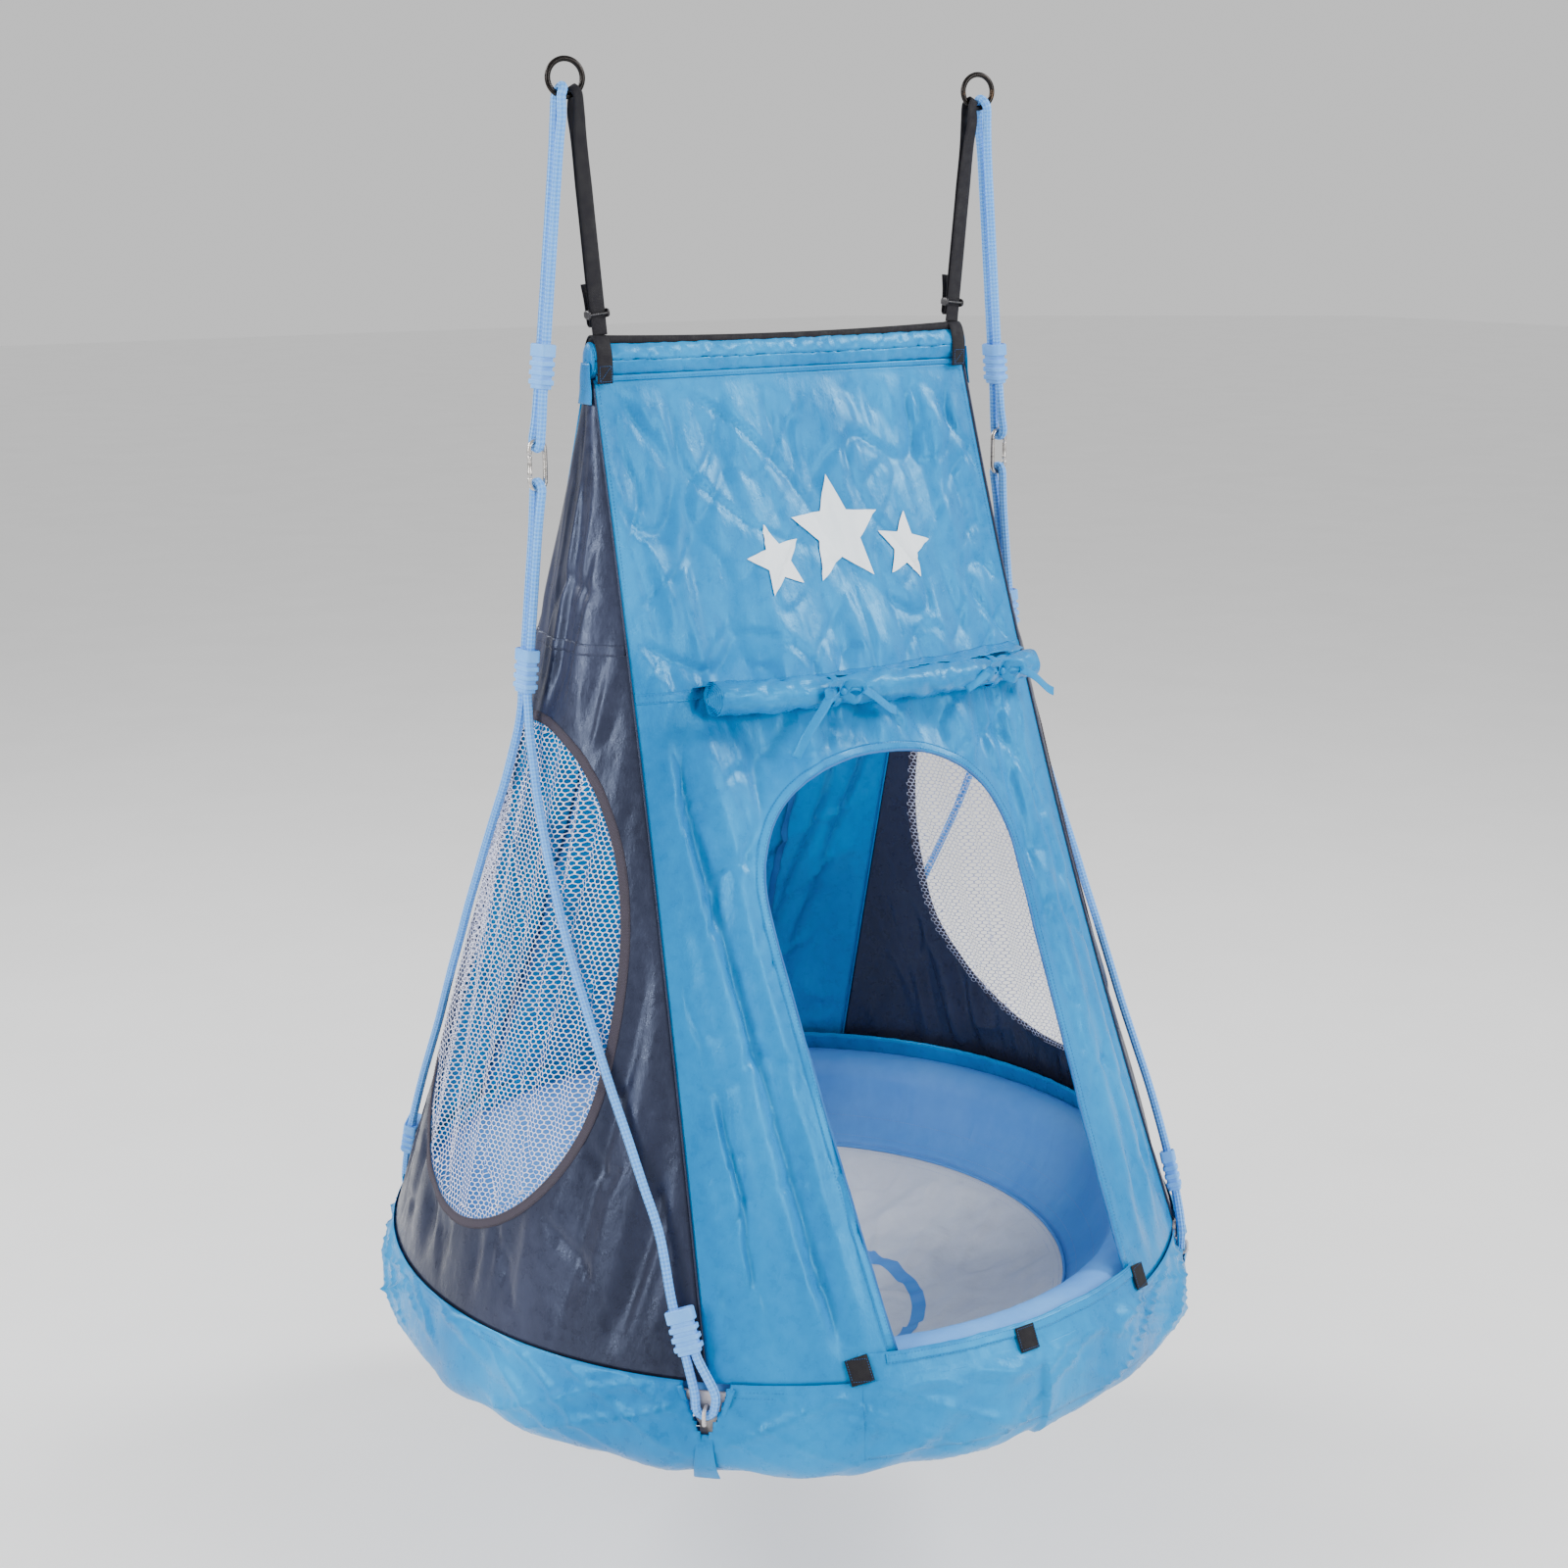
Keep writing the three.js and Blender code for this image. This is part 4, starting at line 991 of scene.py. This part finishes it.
def ridge_sleeve():
    cols, rows = 220, 40
    x = np.linspace(-RIDGE, RIDGE, cols)[None, :]
    a = np.linspace(0, TAU, rows)[:, None]
    pucker = 2.6 * noise(x / 19, a * 1.3, 81) + 1.6 * noise(x / 9 + a, a * 1.2, 82)
    pucker -= 2.4 * crease((x + 14 * a) / 44, a, 83, 0.12)
    wide = 13.4 + 1.0 * np.cos(a) + pucker * np.abs(np.cos(a)) * 0.9
    tall = 22.5 + 0.4 * pucker
    y = -wide * np.cos(a)
    z = RIDGE_Z + tall * np.sin(a) - 1.5 * np.sin((x + RIDGE) / (2 * RIDGE) * math.pi)
    pts = np.stack([x + 0 * a, y, z], -1)
    return surface("ridge_sleeve_cloth", pts, BLUE, pairs(x / 1000, a * 0.02), thick=0.8,
                   stands_for="ridge_sleeve")


ridge_sleeve_cloth = ridge_sleeve()
x = np.linspace(-300, 300, 120)
for where, end in ENDS.items():
    line = np.stack([x, np.full(120, end * 12.0), np.full(120, 1212.0)], 1)
    tape("ridge_seam_" + where, line, v3(0, 0, 1), 7, 2.0, BLUE, lift=-end * 1.5)
    stitches("ridge_stitches_" + where, [(line + v3(0, end * 4.2, 0), v3(0, end, 0))], THREAD_BLUE)
top = 1255.0 + 6.0 * (x / 300) ** 2
tape("ridge_binding_tape", np.stack([x, 0 * x, top], 1), v3(0, 1, 0), 14, 11, BLACK,
     stands_for="ridge_binding")

for side, sign in SIDES.items():
    a, u = turns(40)[None, :], np.linspace(1, 0.04, 8)[:, None]
    cap_x = sign * (RIDGE + 5 * np.sqrt(1 - u**2)) + 0 * a
    cap = np.stack([cap_x, 13.8 * u * np.cos(a), RIDGE_Z + 22.8 * u * np.sin(a)], -1)
    surface("ridge_end_" + side, cap, BLUE, cap[..., 1:].reshape(-1, 2) / 1000, wrap=True, thick=0.8)
    line = resample([[sign * x, 0, z] for x, z in ((309, 1232), (310, 1214), (309.5, 1196), (311, 1180))], 3)
    tape("ridge_tip_" + side, line, v3(0, 1, 0), np.linspace(22, 34, len(line)), 1.4, BLUE)

PATCH = [[-16.4, 1206], [-17, 1226], [-15.4, 1244], [-11, 1257], [-5, 1264.5], [5, 1264.5], [11, 1257],
         [15.4, 1244], [17, 1226], [16.4, 1206]]
for side, sign in SIDES.items():
    line = resample([[sign * 290, y, z] for y, z in PATCH], 3)
    tape("ridge_patch_" + side, line, v3(1, 0, 0), 23, 2.2, BLACK, stands_for="corner_patch_" + side)
    box = []
    for end in (-1, 1):
        y = end * 18.6
        corners = [[-8.5, 1208.5], [8.5, 1208.5], [8.5, 1228], [-8.5, 1228], [-8.5, 1208.5], [8.5, 1228]]
        path = np.array([[sign * 290 + u, y, z] for u, z in corners])
        box.append((path, v3(0, end, 0)))
    stitches("patch_stitches_" + side, box, THREAD_BLUE, 3.2, 2.4, 0.4)


# ---------- hang rings
TURN = rad(12)
RING_X, RING_RADIUS, RING_WIRE = 330, 22.5, 3.6
RING_ACROSS = v3(math.cos(TURN), -math.sin(TURN), 0)
RING_OUT = v3(-math.sin(TURN), -math.cos(TURN), 0)
for side, sign in SIDES.items():
    a = turns(72)
    spokes = np.cos(a)[:, None] * RING_ACROSS + np.sin(a)[:, None] * v3(0, 0, 1)
    path = v3(sign * RING_X, 0, HANG) + RING_RADIUS * spokes
    sweep("hang_ring_" + side + "_round", path, 20, RING_WIRE, RING, start=RING_OUT, closed=True,
          body="hang_rings", stands_for="hang_ring_" + side)


def on_ring(sign, angle):
    """The wire's centre at an angle outboard of a ring's lowest point, with the ways inwards and along it."""
    outboard = RING_ACROSS * sign
    down = outboard * math.sin(angle) - v3(0, 0, math.cos(angle))
    wire = v3(sign * RING_X, 0, HANG) + down * RING_RADIUS
    return wire, -down, outboard * math.cos(angle) + v3(0, 0, math.sin(angle))


# ---------- ropes
# half the distance between two strands, and the loops' radii at a carabiner and at a ring
STRAND, LOOP, RING_LOOP = 6.7, 9.7, 11.6
SNAP_X, SNAP_HALF, SNAP_R = 382.0, 20.0, 11.0
# the right carabiner and upper clamp hang a little lower than the left ones
SNAP_Z = {-1: 1107.0, 1: 1078.0}
SNAP_TOP = {k: z + SNAP_HALF + SNAP_R for k, z in SNAP_Z.items()}
SNAP_BOTTOM = {k: z - SNAP_HALF - SNAP_R for k, z in SNAP_Z.items()}
UPPER_CLAMP_Z = {-1: 1230.0, 1: 1204.0}
MID_CLAMP_Z, EYE_R, EYE_Z, EYE_BEND = 845.0, 575.0, -10.0, 12.0
END_CLAMP = v3(414.6, 374.1, 80)


def upper_x(sign, z):
    return mix(338.5, SNAP_X - 1, (HANG - 21 - z) / (HANG - 21 - SNAP_TOP[sign]))


def lower_x(sign, z):
    return mix(SNAP_X, 405.5, (SNAP_BOTTOM[sign] - z) / (SNAP_BOTTOM[sign] - MID_CLAMP_Z))


def half_turn(middle, start, top, radius, steps=8):
    a = np.linspace(0, math.pi, steps + 1)[:, None]
    return list(middle + radius * (np.cos(a) * start + np.sin(a) * top))


def upper_route(sign):
    strand = lambda end, spread, z: v3(sign * upper_x(sign, z), end * spread, z)
    wire, up, _ = on_ring(sign, rad(23))
    grip, top = UPPER_CLAMP_Z[sign], SNAP_TOP[sign]
    heights = [(9, 1535), (7.2, 1500), (STRAND, 1440), (STRAND, 1340), (STRAND, grip + 36),
               (STRAND, top + 54), (8, top + 24)]
    run = lambda end: [strand(end, a, z) for a, z in heights]
    rear = run(1)
    over_ring = half_turn(wire, -RING_OUT, up, RING_LOOP)
    under_bow = half_turn(v3(sign * SNAP_X, 0, top), v3(0, -1, 0), v3(0, 0, -1), LOOP)
    path = [strand(1, STRAND, grip + 4)] + rear[:5][::-1] + over_ring + run(-1)
    return path + under_bow + rear[5:][::-1] + [strand(1, STRAND, grip - 4)]


def end_clamp(sign, end):
    at = END_CLAMP * v3(sign, end, 1)
    along = unit(v3(sign * 8, -end * 87, 200))
    across = v3(-sign * 0.68, end * 0.73, 0)
    return at, along, unit(across - along * np.dot(across, along))


def end_loop(sign, end):
    at, along, across = end_clamp(sign, end)
    inside_clamp = lambda side, up: at + across * side * STRAND + along * up
    eye = v3(sign * EYE_R * C45, end * EYE_R * C45, EYE_Z)
    sideways = v3(-sign * C45, end * C45, 0)
    aside, above = sideways * (EYE_BEND + 1), v3(0, 0, 16)
    return ([inside_clamp(1, 2), inside_clamp(1, -32), eye + aside + above]
            + half_turn(eye, sideways, v3(0, 0, -1), EYE_BEND, 6)
            + [eye - aside + above, inside_clamp(-1, -32), inside_clamp(-1, 32)])


# below the middle clamp the lower rope's two strands spread out, in [x, y, z] of the right rear one
FREE = [(409, 8, 800), (411, 14, 770), (414, 26, 735), (418, 43, 690), (422, 64, 645), (425, 86, 600),
        (427, 111, 550), (428, 138, 500), (427, 166, 450), (426, 195, 400), (424, 224, 350), (421, 254, 300),
        (419, 288, 245), (417, 322, 190)]


def lower_route(sign):
    strand = lambda end, spread, z: v3(sign * lower_x(sign, z), end * spread, z)
    bottom = SNAP_BOTTOM[sign]

    def half(end):
        free = [v3(sign * x, end * y, z) for x, y, z in FREE][::-1]
        rise = [(STRAND, MID_CLAMP_Z - 32), (STRAND, MID_CLAMP_Z + 32), (STRAND, 930),
                (STRAND, bottom - 52), (8.3, bottom - 22)]
        return end_loop(sign, end) + free + [strand(end, a, z) for a, z in rise]

    over = half_turn(v3(sign * SNAP_X, 0, bottom), v3(0, -1, 0), v3(0, 0, 1), LOOP)
    return half(-1) + over + half(1)[::-1]


def rope_radius(s, a):
    """Sixteen plaits that cross: a low diamond pattern round the rope."""
    k = TAU / 10.5
    return 5.75 + 0.28 * np.sin(4 * a + k * s) * np.sin(4 * a - k * s)


ROPE_STEP = 2.6
for side, sign in SIDES.items():
    for name, route in (("upper_rope_" + side, upper_route), ("lower_rope_" + side, lower_route)):
        path = resample(route(sign), ROPE_STEP)
        o = sweep(name + "_braid", path, 24, rope_radius, ROPE, stands_for=name)
        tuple(metres(path[0]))
        metres(path).tolist()


# ---------- rope clamps
def clamp(name, at, along, across, body, node):
    """A moulded clamp: a core with one tall rib and three narrow ones, all with rounded edges."""
    thick = np.cross(along, across)
    ribs = [(28.0, 12.0), (7.0, 0.5), (-4.5, -11.0), (-16.0, -22.5)]
    stations = []
    for high, low in ribs:
        stations += [(high, 16.9, 9.6), (high - 0.8, 17.8, 10.4), (low + 0.8, 17.8, 10.4), (low, 16.9, 9.6)]
        stations += [(low - 0.05, 14.2, 8.7)]
        stations += [(low - 5.3, 14.2, 8.7)] if low > -20 else [(-27.2, 14.2, 8.7), (-28.0, 13.2, 7.8)]
    stations[0] = (28.0, 16.4, 9.2)
    section = []
    for a in turns(32):
        c, s = math.cos(a), math.sin(a)
        section.append((math.copysign(abs(c) ** 0.28, c), math.copysign(abs(s) ** 0.4, s)))
    pts = [at + along * z + across * w * x + thick * t * y for z, w, t in stations for x, y in section]
    n = len(section)
    faces = grid_faces(len(stations), n, wrap=True)
    rim = len(pts)
    for z, w, t, inset in ((28.0, 16.4, 9.2, 26.5), (-28.0, 13.2, 7.8, -26.5)):
        pts += [at + along * inset + across * w * x * 0.86 + thick * t * y * 0.8 for x, y in section]
    for start, inner in ((0, rim), ((len(stations) - 1) * n, rim + n)):
        faces += [(start + j, start + (j + 1) % n, inner + (j + 1) % n, inner + j) for j in range(n)]
        faces.append(tuple(range(inner, inner + n)))
    round_edges(piece(name, np.array(pts), faces, CLAMP, body=body, stands_for=node, soft=False), 0.5)


for side, sign in SIDES.items():
    hung = (("upper", UPPER_CLAMP_Z[sign], upper_x, "swing"),
            ("middle", MID_CLAMP_Z, lower_x, "middle_clamp_" + side))
    for where, z, x_at, body in hung:
        at = v3(sign * x_at(sign, z), 0, z)
        along = unit(v3(sign * (x_at(sign, z + 10) - x_at(sign, z)), 0, 10))
        clamp("rope_clamp_%s_%s" % (where, side), at, along, v3(0, 1, 0), body, "%s_clamp_%s" % (where, side))
    for where, end in ENDS.items():
        name = "rope_clamp_%s_%s" % (where, side)
        clamp(name, *end_clamp(sign, end), "swing", "end_clamp_%s_%s" % (where, side))

# ---------- carabiners
for side, sign in SIDES.items():
    middle = v3(sign * SNAP_X, 0, SNAP_Z[sign])
    pts = [v3(sign * SNAP_R, 0, 14.2), v3(sign * SNAP_R, 0, SNAP_HALF)]
    pts += half_turn(v3(0, 0, SNAP_HALF), v3(sign, 0, 0), v3(0, 0, 1), SNAP_R, 12)[1:]
    pts += half_turn(v3(0, 0, -SNAP_HALF), v3(-sign, 0, 0), v3(0, 0, -1), SNAP_R, 12)
    pts += [v3(sign * SNAP_R, 0, -14.8)]
    path = resample(pts, 1.5) + middle
    sweep("carabiner_%s_wire" % side, path, 20, 3.0, ZINC, start=(0, 1, 0), stands_for="carabiner_" + side)
    z = np.array([-13, -12.6, -11.8, -9, -7.6, -7.2, 8.6, 9.0, 12.4, 13.0])
    r = np.array([2.0, 2.7, 3.0, 3.0, 3.0, 2.75, 2.75, 3.05, 3.0, 2.3])
    gate = "carabiner_gate_" + side
    path = np.stack([0 * z + sign * SNAP_R, 0 * z, z], 1) + middle
    sweep("gate_%s_pin" % side, path, 20, r, ZINC, start=(0, 1, 0), body=gate, stands_for=gate)
    y = np.array([-3.7, -3.5, 3.5, 3.7])
    path = np.stack([0 * y + sign * SNAP_R, y, 0 * y - 10.3], 1) + middle
    sweep("gate_%s_rivet" % side, path, 12, np.array([0.6, 1.2, 1.2, 0.6]), ZINC, body=gate)

# ---------- tent straps and sliders
# a strap's foot on the ridge patch, and half the distance between its two layers
LOW = v3(288, 0, 1266)
SPLIT = 2.3
for side, sign in SIDES.items():
    wire, up, along = on_ring(sign, rad(-34))

    def at_strap(layer, z, spread=SPLIT):
        return v3(sign * mix(LOW[0], sign * wire[0], (z - LOW[2]) / (wire[2] - LOW[2])), layer * spread, z)

    rise = ((1340, SPLIT, 22), (1450, SPLIT, 22), (1510, 4, 19), (1538, 7.5, 16))
    run = lambda layer: [(at_strap(layer, z, spread), width) for z, spread, width in rise]
    loop = [(p, 13) for p in half_turn(wire, RING_OUT, up, 9.9)]
    stations = [(at_strap(-1, LOW[2]), 22)] + run(-1) + loop + run(1)[::-1]
    stations += [(at_strap(1, 1282), 22), (at_strap(1, 1277.5, 3.4), 22)]
    tail = ((6.0, 1276.5), (8.6, 1279), (9.4, 1290), (11, 1310), (15, 1330))
    stations += [(at_strap(1, z, y), 22) for y, z in tail]
    rough = np.array([p for p, _ in stations])
    path = resample(rough, 2.5)
    s_rough, s = arc_length(rough), arc_length(path)
    width = np.interp(s / s[-1], s_rough / s_rough[-1], [w for _, w in stations])
    wide = np.broadcast_to(along * sign, path.shape).copy()
    far = np.minimum(1, np.linalg.norm(path - wire, axis=1) / 60)[:, None]
    wide = unit(mix(wide, v3(1, 0, 0), smooth(far)))
    tape("tent_strap_%s_tape" % side, path, wide, width, 1.8, BLACK, stands_for="tent_strap_" + side)
    foot, head = at_strap(1, LOW[2], 0), at_strap(1, 1340, 0)
    rising = unit(head - foot)
    across = np.cross(v3(0, 1, 0), rising)
    at = foot + rising * 27
    half = [(-13.4, -4), (-12, -5.2), (12, -5.2), (13.4, -4)]
    rim = resample([at + across * x + rising * z for x, z in half + [(-x, -z) for x, z in half]], 1.5,
                   closed=True)
    body = "strap_slider_" + side
    sweep("slider_%s_frame" % side, rim, 12, 1.35, SLIDER, start=(0, 1, 0), closed=True, body=body,
          stands_for=body)
    for k, y in enumerate((-5.4, 5.4)):
        line = np.array([at + across * x + v3(0, y, 0) for x in np.linspace(-13.5, 13.5, 40)])
        ribbed = lambda s, a: 1.6 + 0.2 * np.sin(s * 2.4)
        sweep("slider_%s_bar_%d" % (side, k), line, 16, ribbed, SLIDER, start=(0, 1, 0), body=body)
        cheek = np.array([at + across * (k * 2 - 1) * 13.9 + v3(0, y, 0) for y in np.linspace(-7.0, 7.0, 12)])
        width = 11.5 - 5 * np.abs(np.linspace(-1, 1, 12)) ** 3
        tape("slider_%s_cheek_%d" % (side, k), cheek, rising, width, 2.4, SLIDER, body=body)


# ---------- rolled door flap and its ties
def roll_axis(x):
    x = np.asarray(x, float)
    z = 800 - 0.03 * x
    p = panel(0, x, z, plain=True)
    n = unit(v3(0, -1, 0.33))
    return p + n * 26.5


ROLL_TURNS = 8.4


def door_roll():
    cols, rows = ((150, 300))
    x = np.linspace(-243, 300, cols)[None, :]
    t = np.linspace(0, 1, rows)[:, None]
    a = t * TAU * ROLL_TURNS + 0.6
    pinch = np.exp(-(((x + 66) / 26) ** 2)) + np.exp(-(((x - 215) / 26) ** 2))
    c, d = np.cos(a), np.sin(a)
    dents = 4.5 * noise(x / 34 + c, 1.2 * d, 91) + 2.5 * noise(x / 13 + 0.8 * d, c, 92)
    dents -= 2.2 * crease(x / 60 + 0.7 * c, d, 93, 0.1)
    r = mix(4.0, 20.5, t) * (1 - 0.16 * pinch) * (1 + dents / 22)
    r = r * mix(1.14, 0.98, (x + 243) / 543)
    axis = roll_axis(x[0])
    y = axis[None, :, 1] - r * np.cos(a)
    z = axis[None, :, 2] + r * np.sin(a)
    pts = np.stack([x + 11 * t - 3 * np.cos(a) * (1 - t), y, z], -1)
    return surface("door_roll_cloth", pts, BLUE, pairs(x / 1000, t * 0.3), thick=0.9,
                   stands_for="door_flap_roll")


door_roll_cloth = door_roll()
x = np.linspace(-240, 297, 90)
a = roll_axis(x)
over = np.stack([panel(0, x, np.full(90, 826.0), 1.0), a + v3(0, -6, 19.5), a + v3(0, -17, 12)], 0)
fine = np.array([resample(over[:, i], 4)[:9] for i in range(90)]).transpose(1, 0, 2)
surface("door_roll_top", fine, BLUE, pairs(fine[..., 0], fine[..., 2]) / 1000, thick=0.8)

# the ties' bows: two loops, alike on both, then where each bow is along the roll and its own two tails
LOOPS = [
    [(0, 0, 0), (-6, -10, 14), (-26, -12, 12), (-20, -8, -6), (0, -2, 0)],
    [(0, 0, 0), (8, -10, 12), (28, -12, 6), (20, -8, -12), (0, -2, 0)],
]
TAILS = {
    "left": (-66, [
        [(0, 0, 0), (-14, -6, 4), (-34, -8, -18), (-60, -6, -52), (-74, -4, -76)],
        [(0, 0, 0), (16, -8, 8), (44, -8, -6), (78, -4, -30), (92, 0, -36)],
    ]),
    "right": (215, [
        [(0, 0, 0), (-16, -8, 8), (-44, -8, -6), (-62, -4, -16)],
        [(0, 0, 0), (18, -8, 6), (54, -8, -10), (88, -2, -34), (100, 0, -40)],
    ]),
}
for side, (x0, tails) in TAILS.items():
    middle = roll_axis(x0)
    a = np.linspace(0, TAU, 40)
    loop = middle + 20.6 * (np.cos(a)[:, None] * v3(0, -1, 0) + np.sin(a)[:, None] * v3(0, 0, 1))
    tape("roll_tie_" + side, loop, v3(1, 0, 0), 11, 1.4, BLUE, stands_for="door_tie_" + side)
    knot = middle + v3(0, -22.6, 3)
    for k, tail in enumerate(tails + LOOPS):
        path = resample([knot + v3(*p) for p in tail], 3)
        wide = unit(v3(0.15, 0.35 if k < 2 else -0.4, 1.0))
        tape("roll_tail_%s_%d" % (side, k), path, wide, 12.5, 1.3, BLUE)
    a = np.linspace(-1, 1, 9)
    line = knot + np.stack([5 * a, -3.0 - 1.5 * (1 - a**2), 2 - 3 * a], 1)
    sweep("roll_knot_" + side, line, 12, 5.4 * np.sqrt(np.maximum(1 - a**2, 0.05)), BLUE)


# ---------- hook tabs on the sill
for name, angle in (("left", -26), ("middle", -2), ("right", 23)):
    x0 = 555 * math.sin(rad(angle))
    z = np.linspace(17, 45, 14)
    path = panel(0, x0, z, 7.0)
    wide = panel(0, x0 + 5, z, 7.0, plain=True) - panel(0, x0, z, 7.0, plain=True)
    tape("hook_tab_" + name, path, wide, 30, 2.2, TAB, stands_for="door_tab_" + name)
    w = unit(wide[0])
    corners = [path[1] - w * 13, path[1] + w * 13, path[-2] + w * 13, path[-2] - w * 13, path[1] - w * 13]
    out = unit(np.cross(path[-1] - path[0], w)) * -1
    out = out if out[1] < 0 else -out
    stitches("tab_stitches_" + name, [(np.array(corners) + out * 1.4, out)], THREAD_BLUE, 3.2, 2.3, 0.4)

# the sill's gathered double hem
line = level_line(0, 40, -0.53, 0.53)
on_panel_tape("sill_hem", 0, line, 13, 2.0, BLUE, lift=4.6)
stitches("sill_stitches", [seam_on(0, level_line(0, z, -0.53, 0.53), 6.0) for z in (44, 36)], THREAD_BLUE)


# ---------- generic print: three plain stars
def star(name, x0, z0, size, spin):
    rings, steps = 18, 120
    a = turns(steps)
    part = np.abs(np.mod((a + spin) / TAU * 5, 1) - 0.5) * TAU / 5
    notch = 0.45
    outer = size * notch * math.sin(math.pi / 5) / (np.sin(math.pi / 5 - part) + notch * np.sin(part))
    r = np.linspace(0.001, 1, rings)[:, None] * outer
    x, z = x0 + r * np.sin(a), z0 + r * np.cos(a)
    surface(name, panel(0, x, z, 2.2), PRINT, pairs(x, z) / 1000, wrap=True)


star("print_star_middle", 26, 1000, 74, 0.0)
star("print_star_left", -82, 972, 48, 0.2)
star("print_star_right", 134, 972, 48, -0.2)

# ---------- CAD pieces that keep their shape
KEEP = {
    "steel_ring_": (ZINC, 0),
    "ring_sleeve_": (ZINC, 0),
    "lug_bolt_": (ZINC, 0.4),
    "lug_": (LUG, 0.8),
    "ridge_pole": (ROD, 0.3),
}
for name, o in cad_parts.items():
    for start, (material, edge) in KEEP.items():
        if name.startswith(start):
            o.data.materials.clear()
            o.data.materials.append(material)
            if edge:
                round_edges(o, edge, 50)
            break

# ---------- floor
FLOOR_HALF = 30.0
mesh = bpy.data.meshes.new("floor")
floor_corners = [(x * FLOOR_HALF, y * FLOOR_HALF, FLOOR_Z) for x, y in ((-1, -1), (1, -1), (1, 1), (-1, 1))]
mesh.from_pydata(floor_corners, [], [(0, 1, 2, 3)])
floor = bpy.data.objects.new("floor", mesh)
bpy.context.collection.objects.link(floor)
n = Nodes("floor_paint")
mesh.materials.append(n.shade(Base_Color=n.spread(n.noise(n.coords(), 3.0), 0.9, 0.93), Roughness=0.7))
